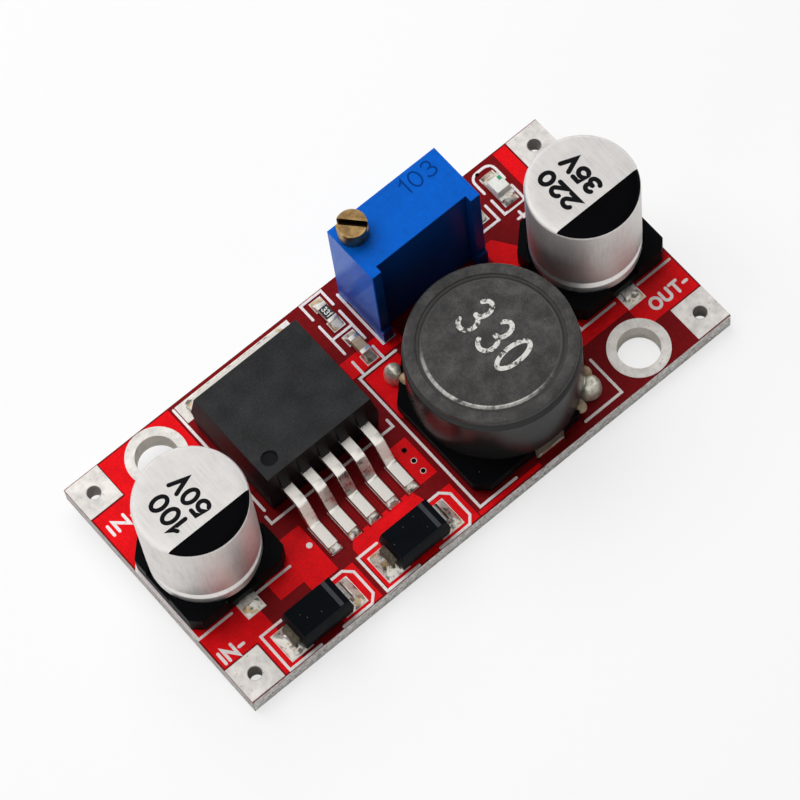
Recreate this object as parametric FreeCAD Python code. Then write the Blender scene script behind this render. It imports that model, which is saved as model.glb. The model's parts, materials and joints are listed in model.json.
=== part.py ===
import FreeCAD, Part
import math
import os

# Step-down power module: a red board with its parts soldered on top.
# The origin is the middle of the board's underside, +X runs from the input
# end to the output end, +Y to the edge that carries the trimmer, +Z is up.
# All sizes are in millimetres.

# Board and its copper; its length and width follow from the parts across it
board_thickness = 1.6
foil_thickness = 0.06

# Two plated mounting holes on a diagonal
mount_hole_radius = 1.6
mount_ring_radius = 2.27
mount_ring_tab_gap = 0.93
mount_ring_edge_gap = 0.08
mount_ring_pad_gap = 0.23

# Wire pads in the four corners
wire_hole_radius = 0.55
wire_pad_length = 2.85
wire_pad_width = 2.95
wire_pad_edge_gap_x = 1.45
wire_pad_edge_gap_y = 1.55

# Can capacitors, one at each end of the board
can_radius = 4.0
can_height = 9.1
can_edge_round = 0.45
can_edge_steps = 2
can_mouth_radius = 3.8
can_bead_height = 1.75
can_bead_half_width = 0.5
can_bead_depth = 0.38
seat_size = 8.3
seat_plate_thickness = 1.0
seat_lug_height = 0.65
seat_lug_reach = 2.9
seat_can_gap = 0.06
seat_plus_chamfer = 1.7
seat_minus_chamfer = 0.7
can_lead_width = 0.85
can_lead_thickness = 0.25
can_lead_reach = 0.55
can_lead_start = 0.9
can_lead_gap = 0.05
can_pad_width = 1.57
can_pad_length = 3.5
can_pad_beyond = 0.8
input_can_edge_gap = 0.2
input_can_y = -0.05
output_can_edge_gap = 0.05
output_can_y = 0.1

# Regulator: moulded body, heat tab and five gull-wing leads
regulator_can_gap = 1.325
regulator_top_length = 9.05
regulator_top_width = 8.02
tab_pad_edge_gap = 0.3
regulator_height = 4.5
regulator_parting_height = 2.4
regulator_draft_out = 0.3
regulator_foot_in = 0.12
regulator_pin_mark_radius = 0.55
regulator_pin_mark_depth = 0.1
regulator_pin_mark_inset = 1.2
tab_thickness = 1.27
tab_width = 8.8
tab_beyond_body = 1.35
tab_inside = 6.0
tab_corner = 0.9
lead_count = 5
lead_pitch = 1.7
lead_width = 0.85
lead_thickness = 0.5
lead_inside = 0.9
lead_level_run = 1.5
lead_knee_run = 1.15
lead_foot_length = 2.1
lead_bend_radius = 0.55
lead_rib_width = 0.74
lead_rib_reach = 0.2
lead_pad_width = 1.1
lead_pad_length = 2.7
lead_pad_beyond = 0.45
tab_pad_beyond = 0.65
tab_pad_side = 0.65

# Inductor: ferrite drum, copper winding and shield ring on a square base
inductor_regulator_gap = 1.575
inductor_can_gap = 1.4
inductor_y = -3.3
inductor_base_size = 12.2
inductor_base_thickness = 1.0
inductor_corner_cut = 3.3
inductor_corner_small = 0.9
inductor_height = 7.1
shield_overhang = 0.05
shield_offset_x = 0.25
shield_offset_y = -0.2
shield_lip_inset = 0.16
shield_lip_height = 0.35
shield_groove_depth = 0.43
shield_groove_height = 0.45
shield_wall = 1.0
shield_drum_gap = 0.16
drum_bevel = 0.28
drum_post_share = 0.535
drum_flange_thickness = 1.15
winding_gap = 0.15
inductor_terminal_width = 2.4
inductor_terminal_thickness = 0.18
inductor_terminal_under = 2.0
inductor_pad_width = 5.4
inductor_pad_length = 3.0
inductor_pad_beyond = 0.12
wire_joint_radius = 0.95
wire_joint_height = 1.55
wire_joint_sections = [(1.0, 0.0), (0.9, 0.5), (0.45, 1.0)]
wire_joint_outset = 0.55

# Two moulded diodes along the front edge
diode_length = 4.3
diode_width = 2.6
diode_height = 2.1
diode_stand = 0.22
diode_draft = 0.19
diode_lead_width = 1.45
diode_lead_thickness = 0.2
diode_lead_out = 0.42
diode_lead_under = 1.1
diode_lead_inside = 0.5
diode_bend_radius = 0.22
diode_pad_length = 1.9
diode_pad_width = 2.4
diode_pad_half_span = 3.35
diode_edge_gap = 1.67
input_diode_beyond_can = 2.85
catch_diode_beyond_regulator = 1.11

# Small chip parts
chip_length = 1.6
chip_width = 0.82
resistor_thickness = 0.45
resistor_coat_thickness = 0.05
capacitor_thickness = 0.8
chip_cap_length = 0.32
chip_cap_wall = 0.03
chip_pad_length = 0.95
chip_pad_width = 1.02
chip_pad_half_span = 1.45
feedback_resistor_gap = 1.19
feedback_resistor_y = 8.45
feedback_capacitor_gap = 1.09
feedback_capacitor_y = 4.95
led_resistor_gap = 1.24
led_resistor_y = 7.95

# Lamp
led_resistor_spacing = 2.55
led_y = 7.85
led_length = 2.0
led_width = 1.25
led_base_thickness = 0.3
led_lens_length = 1.3
led_lens_height = 0.55
led_lens_taper = 0.08
led_terminal_length = 0.3

# Trimmer: blue case, brass screw with a worm, and a toothed wheel
trimmer_depth = 4.8
trimmer_height = 10.0
trimmer_before_inductor = 3.45
trimmer_back_gap = 1.25
trimmer_wall = 0.55
trimmer_top_wall = 0.8
trimmer_recess = 0.55
trimmer_rib_width = 0.8
trimmer_foot_height = 0.4
trimmer_foot_width = 0.85
trimmer_foot_out = 0.22
trimmer_foot_block_height = 1.1
screw_inset = 1.27
screw_head_radius = 1.1
screw_head_height = 1.5
screw_head_lift = 0.04
screw_head_bevel = 0.1
screw_slot_width = 0.45
screw_slot_depth = 0.7
screw_slot_angle = -48.0
screw_running_gap = 0.04
screw_end_gap = 0.04
worm_wall_gap = 0.08
worm_pitch_radius = 0.75
wheel_teeth = 30
addendum_share = 0.9
dedendum_share = 1.15
tooth_width_share = 0.4
tooth_flank_angle = 20.0
worm_turns = 3
wheel_thickness = 0.7
wheel_top_gap = 0.88
wheel_low_gap = 0.58
wheel_side_gap = 1.11
wheel_axle_radius = 0.5
axle_end_gap = 0.06
axle_socket_depth = 0.36
seal_ring_thickness = 0.38
bearing_block_height = 0.7
bearing_block_width = 1.6
bearing_block_lift = 1.95
element_thickness = 0.58
element_side_gap = 0.1
element_lift = 1.75
wiper_thickness = 0.16
wiper_width = 0.7
wiper_fixed_share = 0.39
wiper_reach_share = 0.8
wiper_film_gap = 0.02
potting_thickness = 1.3
pin_size = 0.5
pin_pitch = 2.54
pin_count = 3
pin_rise = 2.6
pin_below_board = 1.05
pin_hole_radius = 0.45
pin_joint_radius = 0.85

# Solder
solder_collar = 0.06
lead_solder_height = 0.42
tab_solder_height = 0.55
can_solder_height = 0.3
diode_solder_height = 0.6
chip_solder_share = 0.6
inductor_solder_height = 0.6
pin_solder_height = 0.85
pin_solder_tip_radius = 0.34

# Places along the board, from the input end to the output end
board_top = board_thickness
seat_level = board_top + foil_thickness
regulator_length = regulator_top_length + 2 * regulator_draft_out
board_length = (input_can_edge_gap + seat_size + regulator_can_gap + regulator_length
                + inductor_regulator_gap + inductor_base_size + inductor_can_gap + seat_size
                + output_can_edge_gap)
can_pad_reach = seat_size / 2 + can_lead_reach + can_pad_beyond
board_width = 2 * (can_pad_reach + mount_ring_pad_gap + 2 * mount_ring_radius + mount_ring_edge_gap)
input_can_x = -board_length / 2 + input_can_edge_gap + seat_size / 2
regulator_x = input_can_x + seat_size / 2 + regulator_can_gap + regulator_length / 2
regulator_back_y = board_width / 2 - tab_pad_edge_gap - tab_pad_beyond - tab_beyond_body
regulator_front_y = regulator_back_y - regulator_draft_out - regulator_top_width
inductor_x = regulator_x + regulator_length / 2 + inductor_regulator_gap + inductor_base_size / 2
output_can_x = board_length / 2 - output_can_edge_gap - seat_size / 2
input_diode_x = input_can_x + input_diode_beyond_can
catch_diode_x = regulator_x + catch_diode_beyond_regulator
trimmer_left_x = inductor_x - trimmer_before_inductor
feedback_resistor_x = trimmer_left_x - feedback_resistor_gap - chip_width / 2
feedback_capacitor_x = trimmer_left_x - feedback_capacitor_gap - chip_width / 2

# Inductor: ring, drum and winding stand together, a little off the middle of the base
shield_x = inductor_x + shield_offset_x
shield_y = inductor_y + shield_offset_y
shield_radius = inductor_base_size / 2 + shield_overhang
shield_lip_radius = shield_radius - shield_lip_inset
shield_groove_radius = shield_radius - shield_groove_depth
shield_bore_radius = shield_radius - shield_wall
drum_radius = shield_bore_radius - shield_drum_gap
drum_post_radius = drum_post_share * drum_radius

# Worm drive: the wheel fills the case between the potting and the top wall
cavity_low_z = board_top + trimmer_foot_height
cavity_top_z = board_top + trimmer_height - trimmer_top_wall
wheel_tip_radius = (cavity_top_z - cavity_low_z - potting_thickness - wheel_top_gap - wheel_low_gap) / 2
wheel_pitch_radius = wheel_tip_radius / (1 + 2 * addendum_share / wheel_teeth)
tooth_module = 2 * wheel_pitch_radius / wheel_teeth
tooth_addendum = addendum_share * tooth_module
tooth_dedendum = dedendum_share * tooth_module
worm_pitch = math.pi * tooth_module
worm_tip_radius = worm_pitch_radius + tooth_addendum
screw_shaft_radius = worm_pitch_radius - tooth_dedendum
trimmer_length = (screw_inset + worm_pitch_radius + wheel_pitch_radius + wheel_tip_radius
                  + wheel_side_gap + trimmer_wall)
led_resistor_x = trimmer_left_x + trimmer_length + led_resistor_gap + chip_width / 2
led_x = led_resistor_x + led_resistor_spacing
nodes = {}


def vec(x, y, z):
    return FreeCAD.Vector(x, y, z)


def block(x0, x1, y0, y1, z0, z1):
    """Rectangular solid between two opposite corners."""
    return Part.makeBox(x1 - x0, y1 - y0, z1 - z0, vec(x0, y0, z0))


def slab(cx, cy, length, width, z0, height):
    """Rectangular solid centred on (cx, cy), standing on z0."""
    return block(cx - length / 2, cx + length / 2, cy - width / 2, cy + width / 2, z0, z0 + height)


def post(cx, cy, radius, z0, height):
    """Upright round bar."""
    return Part.makeCylinder(radius, height, vec(cx, cy, z0))


def closed_face(points):
    """Flat face inside a closed run of straight edges."""
    return Part.Face(Part.makePolygon(points + points[:1]))


def prism(outline, z0, height):
    """Outline in plan carried straight up."""
    return closed_face([vec(x, y, z0) for x, y in outline]).extrude(vec(0, 0, height))


def side_prism(outline, x0, width):
    """Outline in the Y-Z plane carried along X."""
    return closed_face([vec(x0, y, z) for y, z in outline]).extrude(vec(width, 0, 0))


def front_prism(outline, y0, depth):
    """Outline in the X-Z plane carried along Y."""
    return closed_face([vec(x, y0, z) for x, z in outline]).extrude(vec(0, depth, 0))


def outward(solid):
    """The same solid with its faces pointing outwards."""
    if solid.Volume < 0:
        solid.reverse()
    return solid


def turned(profile, cx, cy):
    """Profile of (radius, height) points turned about an upright axis."""
    face = closed_face([vec(cx + r, cy, z) for r, z in profile])
    return outward(face.revolve(vec(cx, cy, 0), vec(0, 0, 1), 360))


def rectangle_wire(cx, cy, size, z):
    half_x = size[0] / 2
    half_y = size[1] / 2
    corners = [(-half_x, -half_y), (half_x, -half_y), (half_x, half_y), (-half_x, half_y)]
    points = [vec(cx + x, cy + y, z) for x, y in corners]
    return Part.makePolygon(points + points[:1])


def tapered(cx, cy, lower_size, z0, upper_size, z1):
    """Solid whose rectangular section changes evenly from one height to the next."""
    wires = [rectangle_wire(cx, cy, lower_size, z0), rectangle_wire(cx, cy, upper_size, z1)]
    return outward(Part.makeLoft(wires, True, True))


def route_wire(points, radius):
    """Straight runs joined by tangent arcs of one radius."""
    edges = []
    start = points[0]
    for before, corner, after in zip(points, points[1:], points[2:]):
        arrive = (corner - before).normalize()
        leave = (after - corner).normalize()
        half_turn = arrive.getAngle(leave) / 2
        setback = radius * math.tan(half_turn)
        inward = (leave - arrive).normalize()
        arc_start = corner - arrive * setback
        arc_end = corner + leave * setback
        arc_middle = corner + inward * (radius / math.cos(half_turn) - radius)
        edges.append(Part.LineSegment(start, arc_start).toShape())
        edges.append(Part.Arc(arc_start, arc_middle, arc_end).toShape())
        start = arc_end
    edges.append(Part.LineSegment(start, points[-1]).toShape())
    return Part.Wire(edges)


def bent_strip(points, radius, thickness, width, across):
    """Flat strip bent along a route; across is the direction of its width."""
    first = (points[1] - points[0]).normalize()
    half_width = across * (width / 2)
    half_thick = first.cross(across).normalize() * (thickness / 2)
    corners = [
        points[0] + half_width + half_thick,
        points[0] - half_width + half_thick,
        points[0] - half_width - half_thick,
        points[0] + half_width - half_thick,
    ]
    section = Part.makePolygon(corners + corners[:1])
    return outward(route_wire(points, radius).makePipeShell([section], True, False))


def cut_all(solid, tools):
    for tool in tools:
        solid = solid.cut(tool)
    return solid


def fused(solids):
    """One solid from several that meet, with no leftover seams."""
    return solids[0].multiFuse(solids[1:]).removeSplitter()


def group(solids):
    """Separate solids kept together in one node."""
    return Part.makeCompound(solids)


def wire_pad_places():
    """Centres of the four corner pads, by the side and edge that they belong to."""
    x = board_length / 2 - wire_pad_edge_gap_x
    y = board_width / 2 - wire_pad_edge_gap_y
    return {"in_plus": (-x, y), "in_minus": (-x, -y), "out_plus": (x, y), "out_minus": (x, -y)}


def mount_places():
    x = tab_width / 2 + tab_pad_side + mount_ring_tab_gap + mount_ring_radius - regulator_x
    y = board_width / 2 - mount_ring_edge_gap - mount_ring_radius
    return {"left": (-x, y), "right": (x, -y)}


def pin_places():
    middle_x = trimmer_left_x + trimmer_length / 2
    y = element_back_y() + pin_size / 2
    offsets = [(i - (pin_count - 1) / 2) * pin_pitch for i in range(pin_count)]
    return [(middle_x + offset, y) for offset in offsets]


def make_board():
    board = slab(0, 0, board_length, board_width, 0, board_thickness)
    holes = [post(x, y, mount_hole_radius, 0, board_thickness) for x, y in mount_places().values()]
    holes += [post(x, y, wire_hole_radius, 0, board_thickness) for x, y in wire_pad_places().values()]
    holes += [post(x, y, pin_hole_radius, 0, board_thickness) for x, y in pin_places()]
    nodes["circuit_board"] = cut_all(board, holes)


def make_wire_pads():
    for name, (x, y) in wire_pad_places().items():
        land = slab(x, y, wire_pad_length, wire_pad_width, board_top, foil_thickness)
        nodes[name + "_pad"] = land.cut(post(x, y, wire_hole_radius, board_top, foil_thickness))


def make_mounting_rings():
    for side, (x, y) in mount_places().items():
        land = post(x, y, mount_ring_radius, board_top, foil_thickness)
        nodes["mounting_ring_" + side] = land.cut(post(x, y, mount_hole_radius, board_top, foil_thickness))


def make_can(cx, cy, z0):
    """Drawn can: narrow mouth, bead, straight wall and a rounded top edge."""
    bead = z0 + can_bead_height
    top = z0 + can_height
    profile = [
        (0, z0),
        (can_mouth_radius, z0),
        (can_radius - can_bead_depth, bead),
        (can_radius, bead + can_bead_half_width),
    ]
    for step in range(can_edge_steps + 1):
        angle = math.pi / 2 * step / can_edge_steps
        profile.append((can_radius - can_edge_round * (1 - math.cos(angle)),
                        top - can_edge_round * (1 - math.sin(angle))))
    profile.append((0, top))
    return turned(profile, cx, cy)


def seat_outline(cx, cy):
    """Square with large chamfers at the plus side and small ones at the minus side."""
    h = seat_size / 2
    p = seat_plus_chamfer
    m = seat_minus_chamfer
    outline = [(-h + m, -h), (h - m, -h), (h, -h + m), (h, h - p), (h - p, h), (-h + p, h),
               (-h, h - p), (-h, -h + m)]
    return [(cx + x, cy + y) for x, y in outline]


def make_seat(cx, cy, z0):
    """Moulded seat plate with four corner lugs round the can and two slots below."""
    plate_top = z0 + seat_plate_thickness
    seat = prism(seat_outline(cx, cy), z0, seat_plate_thickness + seat_lug_height)
    room = post(cx, cy, can_radius + seat_can_gap, plate_top, seat_lug_height)
    open_side = seat_size - 2 * seat_lug_reach
    cuts = [room,
            slab(cx, cy, open_side, seat_size, plate_top, seat_lug_height),
            slab(cx, cy, seat_size, open_side, plate_top, seat_lug_height)]
    slot_width = can_lead_width + 2 * can_lead_gap
    for side in (-1, 1):
        near = can_lead_start - can_lead_gap
        bend = can_lead_start + can_lead_thickness + can_lead_gap
        cuts.append(slab(cx, cy + side * (near + seat_size / 2) / 2, slot_width, seat_size / 2 - near,
                         z0, can_lead_thickness))
        cuts.append(slab(cx, cy + side * (near + bend) / 2, slot_width, bend - near,
                         z0, seat_plate_thickness))
    return cut_all(seat, cuts)


def make_can_lead(cx, cy, z0, side):
    """Flat terminal under the seat, folded up through the seat plate to the can."""
    length = seat_size / 2 + can_lead_reach - can_lead_start
    strip = slab(cx, cy + side * (can_lead_start + length / 2), can_lead_width, length,
                 z0, can_lead_thickness)
    riser = slab(cx, cy + side * (can_lead_start + can_lead_thickness / 2), can_lead_width,
                 can_lead_thickness, z0, seat_plate_thickness)
    return fused([strip, riser])


def can_pad(cx, cy, side):
    return slab(cx, cy + side * (can_pad_reach - can_pad_length / 2), can_pad_width, can_pad_length,
                board_top, foil_thickness)


def can_solder(cx, cy, z0, side, lead):
    """Fillet on the stretch of pad that shows past the seat."""
    length = can_pad_reach - seat_size / 2 - solder_collar
    middle = cy + side * (seat_size / 2 + solder_collar + length / 2)
    upper = (can_lead_width + 2 * solder_collar, can_lead_reach)
    joint = tapered(cx, middle, (can_pad_width - solder_collar, length), z0, upper, z0 + can_solder_height)
    return joint.cut(lead)


def make_capacitors(pads):
    joints = []
    for name, cx, cy in (("input", input_can_x, input_can_y), ("output", output_can_x, output_can_y)):
        leads = {side: make_can_lead(cx, cy, seat_level, side) for side in (-1, 1)}
        nodes[name + "_capacitor_seat"] = make_seat(cx, cy, seat_level)
        nodes[name + "_capacitor_can"] = make_can(cx, cy, seat_level + seat_plate_thickness)
        nodes[name + "_capacitor_plus_lead"] = leads[1]
        nodes[name + "_capacitor_minus_lead"] = leads[-1]
        for side in (-1, 1):
            pads.append(can_pad(cx, cy, side))
            joints.append(can_solder(cx, cy, seat_level, side, leads[side]))
    nodes["capacitor_solder"] = group(joints)


def lead_places():
    first = regulator_x - (lead_count - 1) / 2 * lead_pitch
    return [first + i * lead_pitch for i in range(lead_count)]


def make_gull_lead(cx, z0):
    """Lead that leaves the body level, steps down to the board and ends in a foot."""
    face_y = regulator_front_y - regulator_draft_out
    level = z0 + regulator_parting_height
    foot = z0 + lead_thickness / 2
    knee_y = face_y - lead_level_run - lead_knee_run
    route = [
        vec(cx, face_y + lead_inside, level),
        vec(cx, face_y - lead_level_run, level),
        vec(cx, knee_y, foot),
        vec(cx, knee_y - lead_foot_length, foot),
    ]
    return bent_strip(route, lead_bend_radius, lead_thickness, lead_width, vec(1, 0, 0))


def make_heat_tab(z0, middle_lead):
    """Thick tab under and behind the body, in one piece with the middle lead."""
    back = regulator_back_y + tab_beyond_body
    front = back - tab_beyond_body - tab_inside
    h = tab_width / 2
    outline = [(-h, front), (h, front), (h, back - tab_corner), (h - tab_corner, back),
               (-h + tab_corner, back), (-h, back - tab_corner)]
    tab = prism([(regulator_x + x, y) for x, y in outline], z0, tab_thickness)
    level = z0 + regulator_parting_height
    link_x0 = regulator_x - lead_width / 2
    link_x1 = regulator_x + lead_width / 2
    inner_end = regulator_front_y - regulator_draft_out + lead_inside
    bar = block(link_x0, link_x1, inner_end, front + lead_thickness, level - lead_thickness / 2,
                level + lead_thickness / 2)
    riser = block(link_x0, link_x1, front, front + lead_thickness, z0 + tab_thickness,
                  level - lead_thickness / 2)
    return fused([tab, riser, bar, middle_lead])


def make_regulator_body(z0, metal):
    """Moulded body with draft both ways from the parting line, ribs and a pin mark."""
    cy = regulator_front_y + regulator_top_width / 2
    top = (regulator_top_length, regulator_top_width)
    parting = tuple(size + 2 * regulator_draft_out for size in top)
    foot = tuple(size - 2 * regulator_foot_in for size in parting)
    parting_z = z0 + regulator_parting_height
    top_z = z0 + regulator_height
    lower = tapered(regulator_x, cy, foot, z0, parting, parting_z)
    upper = tapered(regulator_x, cy, parting, parting_z, top, top_z)
    lead_top = parting_z + lead_thickness / 2
    front = regulator_front_y
    rib = [(front + lead_inside, lead_top), (front + lead_inside, top_z), (front, top_z),
           (front - regulator_draft_out - lead_rib_reach, lead_top)]
    ribs = [side_prism(rib, x - lead_rib_width / 2, lead_rib_width) for x in lead_places()]
    body = fused([lower, upper] + ribs)
    mark_x = regulator_x - regulator_top_length / 2 + regulator_pin_mark_inset
    mark = post(mark_x, front + regulator_pin_mark_inset, regulator_pin_mark_radius,
                top_z - regulator_pin_mark_depth, regulator_pin_mark_depth)
    return cut_all(body, [mark] + metal)


def make_regulator(pads):
    leads = [make_gull_lead(x, seat_level) for x in lead_places()]
    middle = lead_count // 2
    tab = make_heat_tab(seat_level, leads[middle])
    leads[middle] = tab
    body = make_regulator_body(seat_level, leads)
    nodes["regulator_body"] = body
    nodes["regulator_heat_tab"] = tab
    for i in range(lead_count):
        if i != middle:
            nodes["regulator_lead_%d" % (i + 1)] = leads[i]
    foot_end = regulator_front_y - regulator_draft_out - lead_level_run - lead_knee_run - lead_foot_length
    pad_y = foot_end - lead_pad_beyond + lead_pad_length / 2
    joints = []
    for x, lead in zip(lead_places(), leads):
        pads.append(slab(x, pad_y, lead_pad_width, lead_pad_length, board_top, foil_thickness))
        lower = (lead_pad_width - solder_collar, lead_pad_length - solder_collar)
        upper = (lead_width + 2 * solder_collar, lead_foot_length)
        joint = tapered(x, pad_y, lower, seat_level, upper, seat_level + lead_solder_height)
        joints.append(joint.cut(lead))
    back = regulator_back_y + tab_beyond_body
    pad_back = back + tab_pad_beyond
    pad_front = regulator_back_y - tab_inside
    pad_width = tab_width + 2 * tab_pad_side
    pads.append(block(regulator_x - pad_width / 2, regulator_x + pad_width / 2, pad_front, pad_back,
                      board_top, foil_thickness + board_top))
    shown = tab_beyond_body + tab_pad_beyond
    tab_joint = tapered(regulator_x, pad_back - shown / 2, (pad_width - solder_collar, shown - solder_collar),
                        seat_level, (tab_width + solder_collar, tab_beyond_body),
                        seat_level + tab_solder_height)
    joints.append(cut_all(tab_joint, [tab, body]))
    nodes["regulator_solder"] = group(joints)


def inductor_base_outline():
    """Square with two opposite corners cut back for the wire ends."""
    h = inductor_base_size / 2
    c = inductor_corner_cut
    s = inductor_corner_small
    outline = [(-h + s, -h), (h - c, -h), (h, -h + c), (h, h - s), (h - s, h), (-h + c, h),
               (-h, h - c), (-h, -h + s)]
    return [(inductor_x + x, inductor_y + y) for x, y in outline]


def make_inductor_terminal(side):
    """Flat clip that lies under the base and turns up its edge."""
    edge = inductor_base_size / 2 + inductor_terminal_thickness / 2
    z = seat_level + inductor_terminal_thickness / 2
    top = seat_level + inductor_terminal_thickness + inductor_base_thickness
    route = [
        vec(inductor_x, inductor_y + side * (inductor_base_size / 2 - inductor_terminal_under), z),
        vec(inductor_x, inductor_y + side * edge, z),
        vec(inductor_x, inductor_y + side * edge, top),
    ]
    return bent_strip(route, inductor_terminal_thickness / 2 + 0.02, inductor_terminal_thickness,
                      inductor_terminal_width, vec(1, 0, 0))


def make_shield(z0, top_z):
    """Outer ferrite ring with a groove under its lip."""
    groove_top = top_z - shield_lip_height
    groove_low = groove_top - shield_groove_height
    return turned([
        (shield_bore_radius, z0),
        (shield_radius, z0),
        (shield_radius, groove_low),
        (shield_groove_radius, groove_low),
        (shield_groove_radius, groove_top),
        (shield_lip_radius, groove_top),
        (shield_lip_radius, top_z),
        (shield_bore_radius, top_z),
    ], shield_x, shield_y)


def make_drum(z0, top_z):
    """Ferrite reel: lower flange, post and upper flange with a bevelled rim."""
    flange = drum_flange_thickness
    return turned([
        (0, z0),
        (drum_radius, z0),
        (drum_radius, z0 + flange),
        (drum_post_radius, z0 + flange),
        (drum_post_radius, top_z - flange),
        (drum_radius, top_z - flange),
        (drum_radius, top_z - drum_bevel),
        (drum_radius - drum_bevel, top_z),
        (0, top_z),
    ], shield_x, shield_y)


def lump(cx, cy, sections):
    """Eight-sided lump of solder through sections of (radius, height)."""
    wires = []
    for radius, z in sections:
        corners = [math.pi / 4 * (i + 0.5) for i in range(8)]
        points = [vec(cx + radius * math.cos(a), cy + radius * math.sin(a), z) for a in corners]
        wires.append(Part.makePolygon(points + points[:1]))
    return outward(Part.makeLoft(wires, True, True))


def make_wire_joint(side, tools):
    """Lump of solder over the wire end at a cut corner of the base."""
    cut_line = (inductor_base_size - inductor_corner_cut) / math.sqrt(2)
    reach = cut_line + wire_joint_radius * wire_joint_outset
    x = inductor_x + side * reach / math.sqrt(2)
    y = inductor_y - side * reach / math.sqrt(2)
    joint = lump(x, y, [(wire_joint_radius * width, seat_level + wire_joint_height * height)
                        for width, height in wire_joint_sections])
    return cut_all(joint, tools)


def make_inductor(pads):
    z0 = seat_level + inductor_terminal_thickness
    base_top = z0 + inductor_base_thickness
    top_z = board_top + inductor_height
    terminals = {side: make_inductor_terminal(side) for side in (-1, 1)}
    base = prism(inductor_base_outline(), z0, inductor_base_thickness)
    nodes["inductor_base"] = cut_all(base, terminals.values())
    shield = make_shield(base_top, top_z)
    nodes["inductor_shield_ring"] = shield
    nodes["inductor_drum_core"] = make_drum(base_top, top_z)
    coil_low = base_top + drum_flange_thickness
    coil_high = top_z - drum_flange_thickness
    coil_radius = drum_radius - winding_gap
    nodes["inductor_winding"] = turned([
        (drum_post_radius, coil_low), (coil_radius, coil_low), (coil_radius, coil_high),
        (drum_post_radius, coil_high)], shield_x, shield_y)
    nodes["inductor_terminal_front"] = terminals[-1]
    nodes["inductor_terminal_back"] = terminals[1]
    half = inductor_base_size / 2
    joints = []
    for side in (-1, 1):
        outer = half + inductor_terminal_thickness + inductor_pad_beyond
        pads.append(slab(inductor_x, inductor_y + side * (outer - inductor_pad_length / 2),
                         inductor_pad_width, inductor_pad_length, board_top, foil_thickness))
        face = inductor_y + side * (half + inductor_terminal_thickness)
        toe = inductor_y + side * (outer - solder_collar / 2)
        wedge = [(face, seat_level), (toe, seat_level), (face, seat_level + inductor_solder_height)]
        joint = side_prism(wedge, inductor_x - inductor_terminal_width / 2, inductor_terminal_width)
        joints.append(joint.cut(terminals[side]))
    nodes["inductor_solder"] = group(joints)
    wire_tools = [nodes["inductor_base"], shield]
    nodes["inductor_wire_joints"] = group([make_wire_joint(side, wire_tools) for side in (-1, 1)])


def make_diode_lead(cx, cy, z0, side):
    """Strip out of the body's end, down to the board and back underneath."""
    level = z0 + diode_stand + diode_height / 2
    out = cx + side * (diode_length / 2 + diode_lead_out - diode_lead_thickness / 2)
    inner = cx + side * (diode_length / 2 - diode_lead_inside)
    under = cx + side * (diode_length / 2 - diode_lead_under)
    foot = z0 + diode_lead_thickness / 2
    route = [vec(inner, cy, level), vec(out, cy, level), vec(out, cy, foot), vec(under, cy, foot)]
    return bent_strip(route, diode_bend_radius, diode_lead_thickness, diode_lead_width, vec(0, 1, 0))


def make_diode_body(cx, cy, z0, leads):
    low = z0 + diode_stand
    middle = low + diode_height / 2
    high = low + diode_height
    full = (diode_length, diode_width)
    foot = tuple(size - diode_draft for size in full)
    top = tuple(size - 2 * diode_draft for size in full)
    body = fused([tapered(cx, cy, foot, low, full, middle), tapered(cx, cy, full, middle, top, high)])
    return cut_all(body, leads)


def make_diodes(pads):
    cy = -board_width / 2 + diode_edge_gap
    joints = []
    for name, cx in (("input", input_diode_x), ("catch", catch_diode_x)):
        leads = {side: make_diode_lead(cx, cy, seat_level, side) for side in (-1, 1)}
        body = make_diode_body(cx, cy, seat_level, leads.values())
        nodes[name + "_diode_body"] = body
        nodes[name + "_diode_anode_lead"] = leads[-1]
        nodes[name + "_diode_cathode_lead"] = leads[1]
        for side in (-1, 1):
            middle = cx + side * (diode_pad_half_span - diode_pad_length / 2)
            pads.append(slab(middle, cy, diode_pad_length, diode_pad_width, board_top, foil_thickness))
            lead_face = cx + side * (diode_length / 2 + diode_lead_out)
            toe = cx + side * (diode_pad_half_span - solder_collar)
            joints.append(front_prism([(lead_face, seat_level), (toe, seat_level),
                                       (lead_face, seat_level + diode_solder_height)],
                                      cy - diode_lead_width / 2, diode_lead_width))
    nodes["diode_solder"] = group(joints)


def chip_caps(cx, cy, z0, thickness):
    """Metal end caps that wrap all round both ends of a chip part."""
    caps = []
    for side in (-1, 1):
        end = cy + side * chip_length / 2
        near = end - side * chip_cap_length
        caps.append(block(cx - chip_width / 2, cx + chip_width / 2, min(end, near), max(end, near),
                          z0, z0 + thickness))
    return caps


def make_chip(name, cx, cy, thickness, coated, pads, joints):
    """Ceramic chip along Y with wrapped end caps, on two pads."""
    caps = chip_caps(cx, cy, seat_level, thickness)
    body = slab(cx, cy, chip_width - 2 * chip_cap_wall, chip_length - 2 * chip_cap_wall,
                seat_level + chip_cap_wall, thickness - 2 * chip_cap_wall)
    nodes[name + "_body"] = body
    nodes[name + "_end_caps"] = group([cap.cut(body) for cap in caps])
    if coated:
        nodes[name + "_coat"] = slab(cx, cy, chip_width - 2 * chip_cap_wall,
                                     chip_length - 2 * chip_cap_length,
                                     seat_level + thickness - chip_cap_wall, resistor_coat_thickness)
    for side in (-1, 1):
        middle = cy + side * (chip_pad_half_span - chip_pad_length / 2)
        pads.append(slab(cx, middle, chip_pad_width, chip_pad_length, board_top, foil_thickness))
        lower = (chip_pad_width - solder_collar, chip_pad_length - solder_collar)
        joint = tapered(cx, middle, lower, seat_level, (chip_width * 0.8, chip_pad_length * 0.5),
                        seat_level + thickness * chip_solder_share)
        joints.append(joint.cut(slab(cx, cy, chip_width, chip_length, seat_level, thickness)))


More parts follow.
